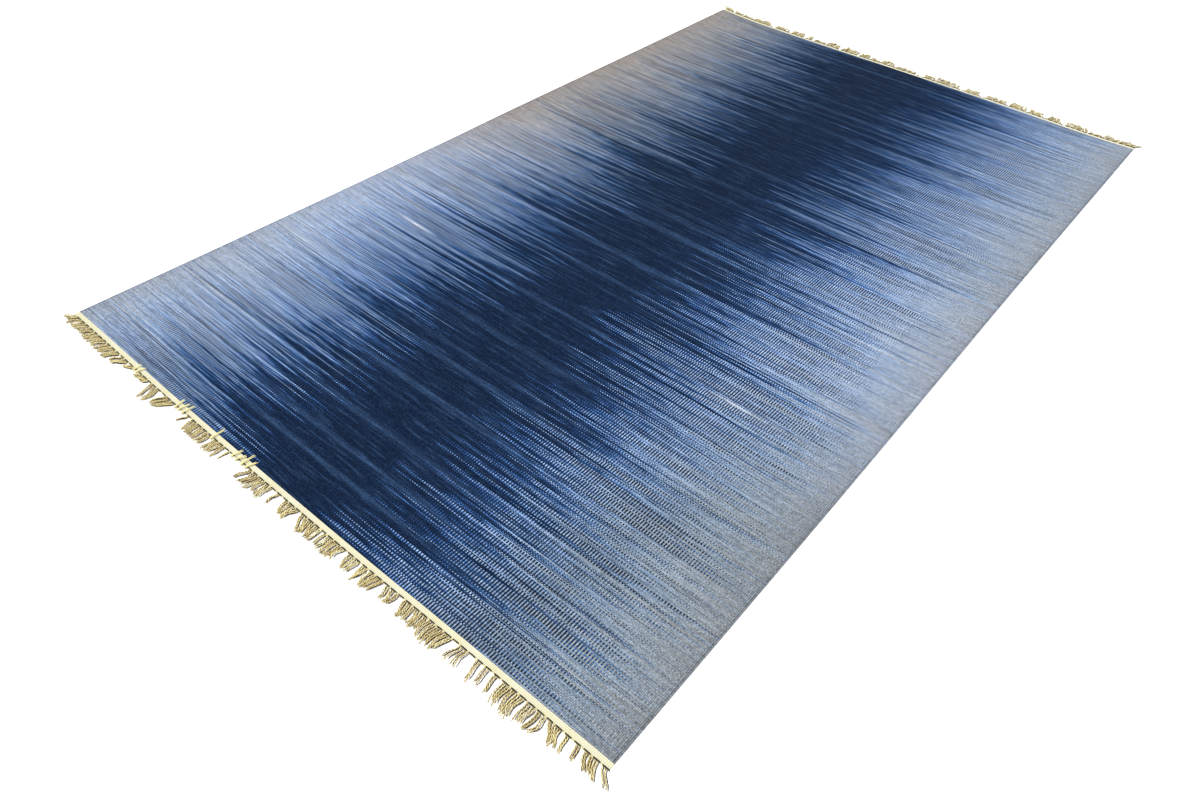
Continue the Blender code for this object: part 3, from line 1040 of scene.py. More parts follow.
@dataclass(frozen=True)
class HeadingFinish:
    """Matt cream cotton weft over the same warp."""

    cream: Colour = srgb(252, 250, 226)
    deep_cream: Colour = srgb(240, 231, 184)
    picks: int = 12
    tint: Noise = Noise(18.0, 3.0)
    pick_tint: float = 0.8
    mean_tint: float = 0.3
    tint_rise: Rise = Rise(-0.2, 1.0)
    brightness: float = 0.68
    # Painted shade in the grooves of the ribs and between floats, and along the band's rolled outer edge
    rib_groove: Rise = Rise(0.45, 1.0, 0.26)
    float_groove: Rise = Rise(0.6, 1.0, 0.16)
    fibres: Grain = Grain(900.0, 900.0, 2.0, 0.16)
    outer_painted_shade: Rise = Rise(0.94, 1.0, 0.12)
    relief: float = 0.30 * MM
    roughness: float = 0.88
    roughness_spread: float = 0.08
    sheen: float = 0.08

    def make(self) -> bpy.types.Material:
        """Build the material.

        Returns:
            The material of the plain headings.
        """
        graph = Graph("heading_weave")
        across_share, out_share = graph.map_axes(WEAVE_MAP)
        across, out = across_share * WIDTH, out_share * HEADING_WIDTH
        weave = weave_at(graph, across, out, HEADING_WIDTH / self.picks)
        lot = graph.lot(weave.shot)
        tint = graph.wander(across, self.tint) + lot * self.pick_tint + self.mean_tint
        colour = graph.mix(tint.rise(self.tint_rise), self.cream, self.deep_cream)
        # Painted shade in the grooves and along the outer edge
        grooves = weave.side.size().rise(self.rib_groove) + weave.within.size().rise(self.float_groove)
        fibre = graph.grain(across, out, self.fibres)
        outer = out_share.rise(self.outer_painted_shade)
        colour = graph.scaled(colour, self.brightness - grooves + fibre - outer)
        bead = weave.side.dome() * (0.5 + 0.5 * weave.within.dome())
        roughness = self.roughness + self.roughness_spread * lot
        return graph.surface(colour, roughness, bead, self.relief, self.sheen)


@dataclass(frozen=True)
class YarnFinish:
    """Plied cotton yarn, read along and round each ply from the yarn map."""

    name: str
    light: Colour
    dark: Colour
    # The colour of painted shade where plies meet, at the root and on the ends below
    painted_shade_colour: Colour
    inner_side: Rise = Rise(0.36, 0.12)
    inner_painted_shade: float = 0.66
    # How much less painted shade the paler tiles, painted as lit, get where plies meet
    lit_tile_shade_cut: float = 0.6
    root_painted_shadow: Rise = Rise(0.06, 0.0, 0.2)
    mean_tone: float = 0.45
    tone_spread: float = 0.7
    fibre_tone: float = 1.1
    relief: float = 0.15 * MM
    sheen: float = 0.12

    def make(self) -> bpy.types.Material:
        """Build the material.

        Returns:
            The material of a yarn.
        """
        graph = Graph(self.name)
        tile_place, along = graph.map_axes(YARN_MAP)
        place = tile_place * YARN_TILES
        tile, around = place.floor(), place.fraction()
        # Tiles painted paler as if lit, and tiles painted dark as the shade below
        painted_lit = tile.ease(PAINTED_LIT_TILE - 0.6, PAINTED_LIT_TILE - 0.4)
        under_painted_shade = tile.ease(PAINTED_SHADE_TILE - 0.6, PAINTED_SHADE_TILE - 0.4)
        inner = (around - 0.5).size().rise(self.inner_side) * (1 - painted_lit * self.lit_tile_shade_cut)
        fibres = graph.cloud(graph.point(around * 9 + along * 14, along * 34 - around * 3,
                                         tile * 5.7), 1.0, 2.0)
        tone = self.mean_tone + graph.lot(tile) * self.tone_spread + fibres * self.fibre_tone - painted_lit
        colour = graph.mix(tone.ease(0.0, 1.0), self.light, self.dark)
        # Painted shade where the plies meet, painted shadow at the root, and the dark ends below
        shade = (inner * self.inner_painted_shade).most(along.rise(self.root_painted_shadow)).most(under_painted_shade)
        colour = graph.mix(shade, colour, self.painted_shade_colour)
        height = graph.cloud(graph.point(around * 24 + along * 30, along * 50, tile)) + 0.5
        return graph.surface(colour, 0.90 + 0.10 * fibres, height, self.relief, self.sheen)


@dataclass(frozen=True)
class FloorFinish:
    """A plain pale floor with a faint unevenness."""

    pale: Colour = srgb(250, 250, 250)
    paler: Colour = srgb(254, 254, 254)
    patches_a_metre: float = 0.6
    roughness: float = 0.8

    def make(self) -> bpy.types.Material:
        """Build the material.

        Returns:
            The material of the floor.
        """
        graph = Graph("pale_floor")
        place = graph.node("ShaderNodeTexCoord", {}, {}, 3)
        tone = graph.cloud(place, self.patches_a_metre, 2.0).ease(-0.4, 0.4)
        return graph.surface(graph.mix(tone, self.pale, self.paler), self.roughness)


class Swell(NamedTuple):
    """A gentle wave of the cloth: its height, its slanting wave, and the wave in which that fades."""

    height: float
    across: float
    along: float
    start: float
    fading: float
    fading_start: float

    def at(self, x: Array, y: Array) -> Array:
        """Its height at places of the cloth, as a share of the cloth's unevenness."""
        slanting = np.sin(2 * np.pi * (x / self.across + y / self.along) + self.start)
        return self.height * slanting * np.sin(2 * np.pi * y / self.fading + self.fading_start)


@dataclass
class WovenField:
    """The woven field with its ribs and its two corded selvedges."""

    section: RibbedSection = RibbedSection()
    spans: int = 28
    end_roll: float = 1.6 * MM
    roll_drop: float = 0.7 * MM
    unevenness: float = 0.40 * MM
    mean_lift: float = 1.5
    level_margin: float = 0.14
    swells: tuple[Swell, ...] = (Swell(1.0, 0.83, 2.1, 0.7, 0.78, 1.9),
                                 Swell(0.5, 0.47, -1.3, 0.0, 0.61, 0.0))

    def build(self, material: bpy.types.Material) -> bpy.types.Object:
        """Make the field.

        Args:
            material: Its finish.

        Returns:
            The piece that stands for the field's solid.
        """
        columns = self.section.columns()
        inner = np.linspace(self.end_roll, FIELD_LENGTH - self.end_roll, self.spans - 1)
        along = np.concatenate([[0.0], inner, [FIELD_LENGTH]]) / FIELD_LENGTH
        sides = np.array([OUTLINE.side_x(share) for share in along])
        near = np.array([OUTLINE.end_y(End.NEAR, share) for share in columns.share])
        far = np.array([OUTLINE.end_y(End.FAR, share) for share in columns.share])
        x = sides[:, :1] + (sides[:, 1:] - sides[:, :1]) * columns.share[None, :]
        y = near[None, :] + along[:, None] * (far - near)[None, :]
        lift = self._lift(x, y)
        drop = np.zeros((len(along), 1))
        drop[[0, -1]] = self.roll_drop
        top = np.stack([x, y, columns.top + lift - drop], axis=-1)
        bottom = np.stack([x, y, columns.bottom + lift], axis=-1)
        place = np.stack(np.broadcast_arrays(columns.share[None, :], along[:, None]), axis=-1)
        round_it = np.concatenate([top, bottom[:, ::-1]], axis=1)
        places = np.concatenate([place, place[:, ::-1], place[:, :1]], axis=1)
        draft = Draft("woven_field")
        numbers = draft.grid(round_it, {WEAVE_MAP: places, BAKE_MAP: places}, closed=True)
        self._close_end(draft, numbers[0], place[0])
        self._close_end(draft, numbers[-1], place[-1])
        return draft.finish(material, "field_weave", ["field"])

    def _lift(self, x: Array, y: Array) -> Array:
        """How far the cloth lies off the floor: gently uneven, and level near both ends.

        Args:
            x: X of places of the cloth.
            y: Y of the same places.

        Returns:
            The lifts.
        """
        wave = sum(swell.at(x, y) for swell in self.swells)
        inside = np.clip((FIELD_LENGTH / 2 - np.abs(y)) / self.level_margin, 0.0, 1.0)
        return self.unevenness * (self.mean_lift + wave) * inside * inside * (3 - 2 * inside)

    @staticmethod
    def _close_end(draft: Draft, ring: Array, place: Array) -> None:
        """Close one end of the field between its two faces.

        Args:
            draft: The field's draft.
            ring: Numbers of the end's points, over the top and back underneath.
            place: The map's places along the top.
        """
        count = len(place)
        top, bottom = ring[:count], ring[count:][::-1]
        for i in range(count - 1):
            corners = (place[i], place[i], place[i + 1], place[i + 1])
            draft.face((top[i], bottom[i], bottom[i + 1], top[i + 1]),
                       {WEAVE_MAP: corners, BAKE_MAP: corners})


@dataclass
class Heading:
    """The plain cream band outside one end of the field, with every float of its weft raised."""

    end: End
    section: RibbedSection = RibbedSection()
    floats: int = 6
    steps: int = 3
    inner_height: float = 3.6 * MM
    outer_height: float = 2.9 * MM
    float_depth: float = 0.35 * MM
    overlap: float = 0.30 * MM
    rounding: float = 1.3 * MM
    shoulder: float = 1.3 * MM
    corner_height: float = 0.6 * MM
    bake_rows: int = 18

    def build(self, material: bpy.types.Material) -> bpy.types.Object:
        """Make the heading.

        Args:
            material: Its finish.

        Returns:
            The piece that stands for the heading's solid.
        """
        columns = self.section.columns()
        out = np.linspace(0.0, 1.0, self.floats * self.steps + 1)
        outside = SEAM_GAP - self.overlap + out * (HEADING_WIDTH + self.overlap)
        x = np.array([OUTLINE.end_x(self.end, share) for share in columns.share])[:, None]
        y = np.array([OUTLINE.end_y(self.end, share) for share in columns.share])[:, None]
        y = y + self.end.value.sign * outside[None, :]
        upper = np.stack(np.broadcast_arrays(x, y, self._top(columns, out)), -1)
        foot = upper[:, [-1, 0]].copy()
        foot[:, :, 2] = 0.0
        around = np.concatenate([upper, foot], axis=1)
        out_places = np.concatenate([out, [1.0, 0.0, 0.0]])
        weave = np.stack(np.broadcast_arrays(columns.share[:, None], out_places[None, :]), axis=-1)
        draft = Draft(f"{self.end.label}_heading_band")
        per_row = math.ceil(len(columns.share) / self.bake_rows)
        for row in range(self.bake_rows):
            first = row * per_row
            last = min(first + per_row, len(columns.share) - 1)
            self._add_stretch(draft, around[first:last + 1], weave[first:last + 1], row)
        piece = draft.finish(material, "heading_weave", [f"{self.end.label}_heading"])
        self._weld(piece)
        return piece

    def _top(self, columns: Columns, out: Array) -> Array:
        """Heights of the band's upper side.

        Args:
            columns: The cloth's lines along the warp.
            out: Places outward from the field, as shares of the band's width.

        Returns:
            The heights, with a row for each line and a column for each place.
        """
        crest = columns.crest[:, None]
        turn = out * self.floats
        low = 0.5 * (1 - np.cos(2 * np.pi * (turn[None, :] + columns.parity[:, None] / 2)))
        body = self.inner_height + (self.outer_height - self.inner_height) * out
        edge = np.clip((1 - out) * HEADING_WIDTH / self.rounding, 0.0, 1.0)
        body = self.shoulder + (body - self.shoulder) * np.sqrt(1 - (1 - edge) ** 2)
        top = body[None, :] - self.section.rib_depth * (1 - crest) - self.float_depth * crest * low
        corner = np.minimum(columns.top / FIELD_THICKNESS, 1.0)[:, None]
        return self.corner_height + (top - self.corner_height) * corner

    def _add_stretch(self, draft: Draft, around: Array, weave: Array, row: int) -> None:
        """Add a stretch of the band, which takes a row of the bake map to itself.

        Args:
            draft: The band's draft.
            around: Rings of points round the band, one for each line of the stretch.
            weave: Their places in the weave map, with one column more.
            row: The row of the bake map.
        """
        count = len(around) - 1
        shares = (0.01 + 0.98 * np.arange(count + 1) / count)[:, None]
        height = (row + 0.1 + 0.8 * weave[:1, :, 1]) / self.bake_rows
        bake = np.stack(np.broadcast_arrays(shares, height), axis=-1)
        numbers = draft.grid(around, {WEAVE_MAP: weave, BAKE_MAP: bake}, closed=True)
        for index, ends_here in ((0, row == 0), (-1, row == self.bake_rows - 1)):
            if ends_here:
                draft.face(numbers[index],
                           {WEAVE_MAP: weave[index, :-1], BAKE_MAP: bake[index, :-1]})

    @staticmethod
    def _weld(piece: bpy.types.Object) -> None:
        """Join the stretches of the band where they meet."""
        shape = bmesh.new()
        shape.from_mesh(piece.data)
        bmesh.ops.remove_doubles(shape, verts=shape.verts, dist=0.002 * MM)
        shape.to_mesh(piece.data)
        shape.free()


@dataclass(frozen=True)
class YarnSize:
    """The sizes of a yarn: its plies, how tightly they are twisted and how finely they are drawn."""

    ply_radius: float
    ply_offset: float
    plies: int
    turn_length: float
    sides: int
    step: float


FULL_YARN = YarnSize(1.02 * MM, 0.84 * MM, 2, 14.0 * MM, 5, 2.5 * MM)
UNDER_YARN = YarnSize(0.95 * MM, 0.0, 1, 13.0 * MM, 6, 3.2 * MM)
FLIPPED_YARN = YarnSize(0.70 * MM, 0.54 * MM, 2, 9.0 * MM, 6, 1.4 * MM)
EDGE_YARN = YarnSize(0.60 * MM, 0.55 * MM, 2, 7.3 * MM, 5, 1.5 * MM)
DARK_DASH_YARN = YarnSize(1.25 * MM, 0.0, 1, 8.0 * MM, 6, 1.1 * MM)
FUZZ_YARN = YarnSize(0.20 * MM, 0.0, 1, 8.0 * MM, 3, 1.6 * MM)


def curve_through(points: Sequence[Point], step: float) -> Array:
    """A smooth line through points.

    Args:
        points: The points, in order.
        step: About how far apart the line's own points are.

    Returns:
        The line's points, of shape (count, 3).
    """
    known = np.array(points)
    padded = np.concatenate([[2 * known[0] - known[1]], known, [2 * known[-1] - known[-2]]])
    run = []
    for before, start, stop, after in zip(padded, padded[1:], padded[2:], padded[3:]):
        count = max(2, round(float(np.linalg.norm(stop - start)) / step))
        u = (np.arange(count) / count)[:, None]
        run.append(0.5 * (2 * start + (stop - before) * u
                          + (2 * before - 5 * start + 4 * stop - after) * u ** 2
                          + (3 * start - before - 3 * stop + after) * u ** 3))
    return np.concatenate([*run, known[-1:]])


@dataclass
class YarnLayer:
    """Lays yarns into one draft, each ply a tube with closed ends."""

    draft: Draft
    draw: random.Random
    floor: float = 0.05 * MM
    fray_from: float = 0.80
    fray_spread: float = 1.3
    fray_thinning: float = 0.45
    tip_size: float = 0.45
    fibre_spread: float = 0.8
    fibre_root: float = 1.5 * MM
    plain_tiles: int = 4

    def lay(self, route: Sequence[Point], size: YarnSize, tile: int, fray: float = 0.0) -> None:
        """Lay one yarn.

        Args:
            route: Points that its middle line passes through.
            size: Its sizes.
            tile: Which of the yarn map's tiles its plies read.
            fray: How far the plies part at the tip, from 0 to 1.
        """
        line = curve_through(route, size.step)
        length = np.concatenate([[0.0], np.cumsum(np.linalg.norm(np.diff(line, axis=0), axis=1))])
        share = length / length[-1]
        side, rise = self._axes(line)
        opening = np.clip((share - self.fray_from) / (1 - self.fray_from), 0.0, 1.0) * fray
        phase = self.draw.uniform(0, 2 * math.pi)
        for ply in range(size.plies):
            angle = phase + 2 * np.pi * (length / size.turn_length + ply / size.plies)
            away = size.ply_offset * (1 + self.fray_spread * opening)
            middle = line + self._turned(side, rise, angle) * away[:, None]
            radius = size.ply_radius * (1 - self.fray_thinning * opening)
            radius[-1] *= self.tip_size
            self._tube(middle, side, rise, angle, radius, share, size.sides, (tile + ply) % YARN_TILES)

    def fuzz(self, route: Sequence[Point], count: int, reach: float) -> None:
        """Add the loose fibres of a frayed tip.

        Args:
            route: The yarn's route, which ends at the tip.
            count: How many fibres.
            reach: About how far they stand out.
        """
        tip = np.array(route[-1])
        run = tip - np.array(route[-2])
        run /= np.linalg.norm(run)
        across = np.array([-run[1], run[0], 0.0])
        for _ in range(count):
            spread = self.draw.uniform(-self.fibre_spread, self.fibre_spread)
            long = reach * self.draw.uniform(0.5, 1.1)
            start = tip + across * self.draw.uniform(-0.7, 0.7) * MM - run * self.fibre_root
            middle = start + (run + across * spread * 0.5) * long * 0.5
            stop = start + (run + across * spread) * long
            middle[2] += self.draw.uniform(-0.2, 0.6) * MM
            stop[2] = max(0.3 * MM, tip[2] + self.draw.uniform(-1.2, 0.8) * MM)
            tile = self.draw.randrange(self.plain_tiles)
            self.lay([tuple(start), tuple(middle), tuple(stop)], FUZZ_YARN, tile)

    @staticmethod
    def _axes(line: Array) -> tuple[Array, Array]:
        """Two directions square to a line at each of its points, one of them level.

        Args:
            line: The line's points.

        Returns:
            The level directions, and those square to them.
        """
        run = np.gradient(line, axis=0)
        run /= np.linalg.norm(run, axis=1)[:, None]
        side = np.cross(run, np.array([0.0, 0.0, 1.0]))
        short = np.linalg.norm(side, axis=1) < 0.05
        side[short] = np.array([1.0, 0.0, 0.0])
        side /= np.linalg.norm(side, axis=1)[:, None]
        return side, np.cross(side, run)

    @staticmethod
    def _turned(side: Array, rise: Array, angle: Array) -> Array:
        """The direction at an angle round the line."""
        return side * np.cos(angle)[..., None] + rise * np.sin(angle)[..., None]

    def _tube(self, middle: Array, side: Array, rise: Array, angle: Array, radius: Array,
              share: Array, sides: int, tile: int) -> None:
        """Add one ply as a tube whose map starts on the side that faces out of the yarn.

        Args:
            middle: The ply's middle line.
            side: Level directions square to the yarn's line.
            rise: Directions square to both.
            angle: Where the ply stands round the yarn, at each point.
            radius: The ply's radius at each point.
            share: The share of the yarn's length at each point.
            sides: How many sides the tube has.
            tile: The yarn map's tile for it.
        """
        turns = np.arange(sides) / sides
        around = angle[:, None] + 2 * np.pi * turns[None, :]
        rings = middle[:, None, :] + radius[:, None, None] * self._turned(
            side[:, None, :], rise[:, None, :], around)
        rings[..., 2] = np.maximum(rings[..., 2], self.floor)
        u = (tile + 0.04 + 0.92 * np.append(turns, 1.0)) / YARN_TILES
        places = np.stack(np.broadcast_arrays(u[None, :], 0.01 + 0.98 * share[:, None]), axis=-1)
        numbers = self.draft.grid(rings, {YARN_MAP: places, BAKE_MAP: places}, closed=True)
        for index in (0, -1):
            corners = places[index, :-1]
            self.draft.face(numbers[index], {YARN_MAP: corners, BAKE_MAP: corners})


@dataclass(frozen=True)
class Lock:
    """One lock of the fringe, at the place of its solid."""

    clump: Clump
    root: tuple[float, float]
    tip: tuple[float, float]
    reach: float

    def centre(self, end: End, outward: float) -> tuple[float, float]:
        """X and breadth of the lock at a distance from the root strip.

        Args:
            end: The end that the lock belongs to.
            outward: The distance from the root strip.

        Returns:
            X of the lock's middle, and how broad it is across the rug.
        """
        u = min(max(outward / self.clump.reach, 0.0), 1.1)
        ease = u * u * (3 - 2 * u)
        roots = [OUTLINE.end_x(end, share) for share in self.root]
        tips = [OUTLINE.end_x(end, share) for share in self.tip]
        start, stop = sum(roots) / 2, sum(tips) / 2
        across = start + (stop - start) * ease + self.clump.curl * math.sin(math.pi * u)
        root_width, tip_width = roots[1] - roots[0], tips[1] - tips[0]
        return across, root_width + (tip_width - root_width) * ease


class Bend(NamedTuple):
    """How a lock's strands wave sideways together, and how their tips hook."""

    sway: float
    phase: float
    hook: float

    @staticmethod
    def hooked(u: float) -> float:
        """How much of a hook shows at a share of the reach, up to 1 at the tip."""
        return max(0.0, u - 0.6) ** 2 / 0.16

    def offset(self, u: float) -> float:
        """How far the strands lie aside at a share of their reach."""
        start = math.sin(2 * math.pi * self.phase)
        wave = math.sin(2 * math.pi * (0.85 * u + self.phase)) - start
        return self.sway * wave * min(1.0, 2.5 * u) + self.hook * self.hooked(u)


class Unruly(NamedTuple):
    """A size that depends on its end: at a tidy one, and how much more it is at an unruly one."""

    tidy: float
    more: float

    def at(self, end: End) -> float:
        """The size at an end."""
        return self.tidy + self.more * end.value.unruliness


@dataclass
class Fringe:
    """The plied warp ends of one end of the rug, laid along the locks of its solid."""

    end: End
    seed: int = 31
    uppers: int = 2
    # Strands of the upper layer: shares of the lock's reach, then sizes
    stations: tuple[float, ...] = (0.0, 0.16, 0.34, 0.52, 0.70, 0.86, 1.0)
    shortest: Unruly = Unruly(0.90, -0.16)
    longest: float = 1.06
    sway: Unruly = Unruly(2.4 * MM, 0.4 * MM)
    hook: Unruly = Unruly(1.5 * MM, 3.0 * MM)
    own_sway: Unruly = Unruly(0.7 * MM, 2.0 * MM)
    own_hook: Unruly = Unruly(0.5 * MM, 2.0 * MM)
    arch: float = 9.0 * MM
    small_arch: float = 1.2 * MM
    yarn_height: float = 1.85 * MM
    root_drop: float = 0.6 * MM
    root_depth: float = 2.9 * MM
    root_height: float = 1.2 * MM
    # Strands below, painted dark as the shade between the full strands: their places in the lock and
    # their heights
    unders: tuple[tuple[float, float], ...] = ((0.0, 1.2 * MM), (0.5 / LOCK_SHARE, 2.1 * MM))
    under_stations: tuple[float, ...] = (0.03, 0.2, 0.45, 0.7, 1.0)
    # The cord along the heading's outer edge
    cord_spans: int = 60
    cord_margin: float = 0.0008
    cord_inset: float = 0.62 * ROOT_STRIP_WIDTH
    cord_height: float = 1.35 * MM
    # Flipped ends: where they turn, how high the turn is and how they lie on the field
    pair_aside: float = 1.2 * MM
    turn: float = 5.2 * MM
    turn_low: float = 1.4 * MM
    turn_high: float = 6.1 * MM
    sag: float = 0.2 * MM
    lying_height: float = FIELD_THICKNESS + 1.5 * MM

    def locks(self) -> Iterator[Lock]:
        """Every lock, with the same draws as in the solids."""
        draw = random.Random(FRINGE_SEED)
        margin = (1 - LOCK_SHARE) / 2
        for clump in self.end.value.clumps:
            slots = max(1, round((clump.root_to - clump.root_from) * WIDTH / LOCK_PITCH))
            for slot in range(slots):
                sides = (slot + margin) / slots, (slot + 1 - margin) / slots
                root = tuple(clump.root_from + s * (clump.root_to - clump.root_from) for s in sides)
                tip = tuple(clump.tip_from + s * (clump.tip_to - clump.tip_from) for s in sides)
                reach = clump.reach * (1 + REACH_SPREAD * draw.uniform(-1, 1))
                yield Lock(clump, root, tip, reach)

    def build(self, material: bpy.types.Material) -> bpy.types.Object:
        """Make the fringe.

        Args:
            material: Its finish.

        Returns:
            The piece that stands for the fringe's solid.
        """
        draft = Draft(f"{self.end.label}_fringe_yarns")
        layer = YarnLayer(draft, random.Random(self.seed + len(self.end.value.clumps)))
        self._lay_edge_cord(layer)
        for lock in self.locks():
            bend = self._drawn_bend(layer.draw)
            for index in range(self.uppers):
                self._lay_upper(layer, lock, (index + 0.5) / self.uppers - 0.5, bend)
            for place, height in self.unders:
                self._lay_under(layer, lock, place, height, bend)
        for flip in self.end.value.flips:
            for aside in (-self.pair_aside, self.pair_aside):
                self._lay_flipped(layer, flip, aside)
        return draft.finish(material, "fringe_yarn", [f"{self.end.label}_fringe"])

    def _lay_edge_cord(self, layer: YarnLayer) -> None:
        """Lay the two-ply cord that closes the heading's outer edge.

        Args:
            layer: The fringe's yarns.
        """
        route = []
        for i in range(self.cord_spans + 1):
            share = self.cord_margin + (1 - 2 * self.cord_margin) * i / self.cord_spans
            y = OUTLINE.end_y(self.end, share, ROOT_LINE - self.cord_inset)
            route.append((OUTLINE.end_x(self.end, share), y, self.cord_height))
        # The cord's yarn is painted paler, with less painted shade between its plies
        layer.lay(route, EDGE_YARN, PAINTED_LIT_TILE)

    def _drawn_bend(self, draw: random.Random) -> Bend:
        """Draw the bend that the strands of one lock share."""
        return Bend(sway=draw.uniform(-1, 1) * self.sway.at(self.end), phase=draw.uniform(0, 1),
                    hook=draw.uniform(-1, 1) * self.hook.at(self.end))

    def _follow(self, lock: Lock, reach: float, side: float, bend: Bend,
                stations: Sequence[float]) -> Iterator[Point]:
        """Follow a lock outward from the root strip.

        Args:
            lock: The lock.
            reach: How far to go.
            side: The strand's place beside the lock's middle line, as a share of its breadth.
            bend: The bend of the lock's strands.
            stations: Where to stop, as shares of the reach.

        Yields:
            The share of the reach, then X and Y there.
        """
        base = OUTLINE.end_y(self.end, sum(lock.root) / 2, ROOT_LINE)
        for u in stations:
            across, breadth = lock.centre(self.end, u * reach)
            yield u, across + side * breadth + bend.offset(u), base + self.end.value.sign * u * reach

    def _lay_upper(self, layer: YarnLayer, lock: Lock, place: float, bend: Bend) -> None:
        """Lay one full strand of a lock, on its own side of the lock's middle line.

        Args:
            layer: The fringe's yarns.
            lock: The lock.
            place: The strand's place beside the middle line, as a share of the lock's breadth.
            bend: The bend of the lock's strands.
        """
        draw, end = layer.draw, self.end
        reach = lock.reach * draw.uniform(self.shortest.at(end), self.longest)
        own_sway = draw.uniform(-1, 1) * self.own_sway.at(end)
        own_phase = draw.uniform(0, 1)
        own_hook = draw.uniform(-1, 1) * self.own_hook.at(end)
        lift = draw.random() ** 4 * self.arch * end.value.unruliness + draw.random() * self.small_arch
        _, x, y = next(self._follow(lock, reach, place, bend, self.stations))
        route = [(x, y - end.value.sign * self.root_depth, self.root_height)]
        for u, x, y in self._follow(lock, reach, place, bend, self.stations):
            x += own_sway * math.sin(2 * math.pi * (0.8 * u + own_phase)) * u
            x += own_hook * bend.hooked(u)
            z = self.yarn_height - self.root_drop * max(0.0, 1 - u / self.stations[1])
            z += lift * math.sin(math.pi * min(1.0, u)) ** 1.5
            route.append((x, y, z))
        layer.lay(route, FULL_YARN, draw.randrange(0, 8), fray=draw.uniform(0.3, 1.0))
        layer.fuzz(route, 3, 4.0 * MM)

    def _lay_under(self, layer: YarnLayer, lock: Lock, place: float, height: float,
                   bend: Bend) -> None:
        """Lay an end below, painted dark as the shade between the full strands.

        Args:
            layer: The fringe's yarns.
            lock: The lock.
            place: The end's place beside the lock's middle line, as a share of its breadth.
            height: How high its middle line lies.
            bend: The bend of the lock's strands.
        """
        draw = layer.draw
        reach = lock.reach * draw.uniform(0.80, 0.98)
        side = place + draw.uniform(-0.06, 0.06)
        route = [(x, y, height) for _, x, y in self._follow(lock, reach, side, bend, self.under_stations)]
        layer.lay(route, UNDER_YARN, draw.randrange(PAINTED_SHADE_TILE, YARN_TILES), fray=0.8)

    def _lay_flipped(self, layer: YarnLayer, flip: Flip, aside: float) -> None:
        """Lay one warp end that turns back over the heading, on the route of its solid.

        Args:
            layer: The fringe's yarns.
            flip: The solid's route.
            aside: How far the end lies beside it.
        """
        x = OUTLINE.end_x(self.end, flip.root) + aside
        base = OUTLINE.end_y(self.end, flip.root, ROOT_LINE)
        lean = flip.lean + 0.8 * aside
        back = flip.back * layer.draw.uniform(0.8, 1.0)
        low, high = self.turn_low, self.turn_high
        places = ((0.0, low), (0.45 * self.turn, low), (self.turn, 0.5 * (low + high)),
                  (0.5 * self.turn, high), (-0.35 * back, high - self.sag),
                  (-0.70 * back, self.lying_height), (-back, self.lying_height))
        route = [(x + lean * max(0.0, -out / back), base + self.end.value.sign * out, z)
                 for out, z in places]
        # Flipped ends are painted paler, as if lit
        layer.lay(route, FLIPPED_YARN, layer.draw.randrange(PAINTED_LIT_TILE, PAINTED_LIT_TILE + 2), fray=0.6)
        layer.fuzz(route, 2, 2.5 * MM)


@dataclass
class EdgeDarkDashes:
    """Short dark dashes of thread along a heading's outer edge, at a fixed pitch."""

    end: End
    count: int = 83
    pitch: float = 0.01198
    last: float = 0.9965
    length: float = 15.5 * MM
    outside: float = SEAM_GAP + HEADING_WIDTH + 0.75 * MM
    wobble: float = 0.15 * MM
    seed: int = 5
    # Places along a dash, from -1 to 1, and their heights
    bow: tuple[tuple[float, float], ...] = ((-1.0, 1.6 * MM), (-0.85, 3.2 * MM), (0.0, 3.7 * MM),
                                            (0.85, 3.2 * MM), (1.0, 1.6 * MM))

    def build(self, material: bpy.types.Material) -> bpy.types.Object:
        """Make the dashes.

        Args:
            material: Their finish.

        Returns:
            The piece with every stitch of this end.
        """
        draft = Draft(f"{self.end.label}_edge_dark_dashes")
        layer = YarnLayer(draft, random.Random(self.seed))
        for i in range(self.count):
            middle = OUTLINE.end_x(self.end, self.last - i * self.pitch)
            half = self.length / 2 * layer.draw.uniform(0.80, 1.10)
            route = []
            for share, z in self.bow:
                x = middle + share * half
                across = (x - OUTLINE.end_x(self.end, 0.0)) / WIDTH
                out = self.outside + layer.draw.uniform(-1, 1) * self.wobble
                route.append((x, OUTLINE.end_y(self.end, across, out), z))
            layer.lay(route, DARK_DASH_YARN, i % YARN_TILES)
        return draft.finish(material, "field_weave")


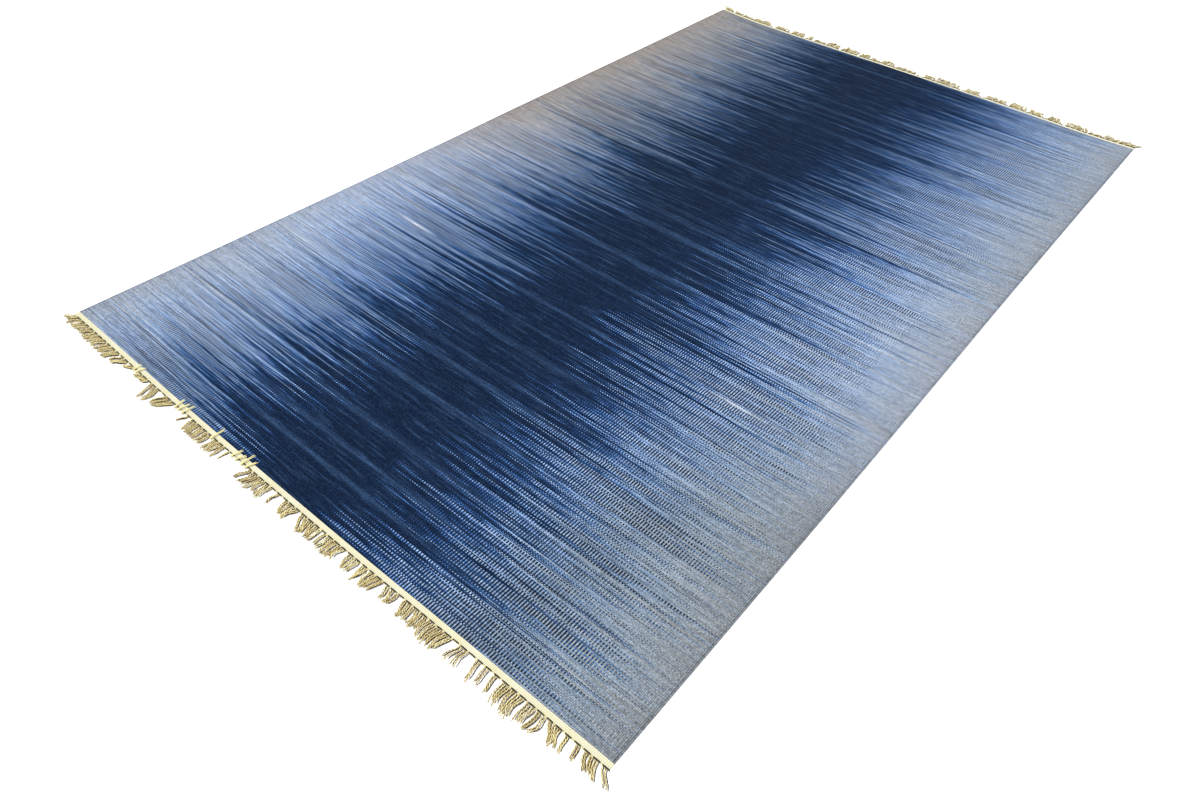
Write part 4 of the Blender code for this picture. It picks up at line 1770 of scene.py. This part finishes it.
@dataclass
class Studio:
    """A plain pale floor, soft light and the camera."""

    floor_radius: float = 24.0
    sky_strength: float = 1.0
    sun_strength: float = 3.25
    sun_spread: float = math.radians(50)
    sun_from: Point = (-0.36, 0.30, 0.88)
    camera_place: Point = (1.2413, -2.0270, 1.4987)
    camera_right: Point = (0.76486, 0.6427, 0.04379)
    camera_up: Point = (-0.47429, 0.51583, 0.71342)
    camera_back: Point = (0.43593, -0.56644, 0.69937)
    lens: float = 26.37
    film_width: float = 36.0
    clip: tuple[float, float] = (0.05, 100.0)

    def build(self, floor_finish: bpy.types.Material) -> None:
        """Make the floor, the lights and the camera.

        Args:
            floor_finish: The floor's material.
        """
        self._lay_floor(floor_finish)
        self._light()
        self._place_camera()
        bpy.context.scene.view_settings.view_transform = "Standard"
        LOG.info("studio: floor, light and camera")

    def _lay_floor(self, finish: bpy.types.Material) -> None:
        """Lay a round floor that reaches past every view.

        Args:
            finish: Its material.
        """
        shape = bmesh.new()
        bmesh.ops.create_circle(shape, cap_ends=True, segments=96, radius=self.floor_radius)
        mesh = bpy.data.meshes.new("floor")
        shape.to_mesh(mesh)
        shape.free()
        mesh.materials.append(finish)
        floor = bpy.data.objects.new("floor", mesh)
        bpy.context.scene.collection.objects.link(floor)

    def _light(self) -> None:
        """Light the rug by an even white sky and a broad soft sun above its far left corner."""
        world = bpy.data.worlds.new("studio")
        world.use_nodes = True
        sky = world.node_tree.nodes["Background"]
        sky.inputs["Color"].default_value = (1.0, 1.0, 1.0, 1.0)
        sky.inputs["Strength"].default_value = self.sky_strength
        bpy.context.scene.world = world
        lamp = bpy.data.lights.new("soft_sun", "SUN")
        lamp.energy = self.sun_strength
        lamp.angle = self.sun_spread
        holder = bpy.data.objects.new("soft_sun", lamp)
        holder.location = 5 * Vector(self.sun_from)
        holder.rotation_euler = (-Vector(self.sun_from)).to_track_quat("-Z", "Y").to_euler()
        bpy.context.scene.collection.objects.link(holder)

    def _place_camera(self) -> None:
        """Stand the camera off the near right corner, as high as a phone is held."""
        lens = bpy.data.cameras.new("camera")
        lens.lens = self.lens
        lens.sensor_width = self.film_width
        lens.clip_start, lens.clip_end = self.clip
        camera = bpy.data.objects.new("camera", lens)
        axes = Matrix((self.camera_right, self.camera_up, self.camera_back)).transposed()
        camera.matrix_world = Matrix.Translation(self.camera_place) @ axes.to_4x4()
        bpy.context.scene.collection.objects.link(camera)
        bpy.context.scene.camera = camera


def main() -> None:
    """Build the rug piece by piece and set up the studio."""
    logging.basicConfig(level=logging.INFO, format="%(name)s: %(message)s")
    fringe_finish = YarnFinish("fringe_yarn", srgb(255, 246, 190), srgb(202, 175, 110),
                               srgb(44, 29, 15)).make()
    dark_dash_finish = YarnFinish("dark_dash_thread", srgb(40, 34, 26), srgb(24, 20, 16),
                               srgb(18, 14, 12)).make()
    heading_finish = HeadingFinish().make()
    woven = WovenField().build(FieldFinish().make())
    for end in End:
        band = Heading(end).build(heading_finish)
        yarns = Fringe(end).build(fringe_finish)
        dark_dashes = EdgeDarkDashes(end).build(dark_dash_finish)
    Studio().build(FloorFinish().make())


if __name__ == "__main__":
    main()
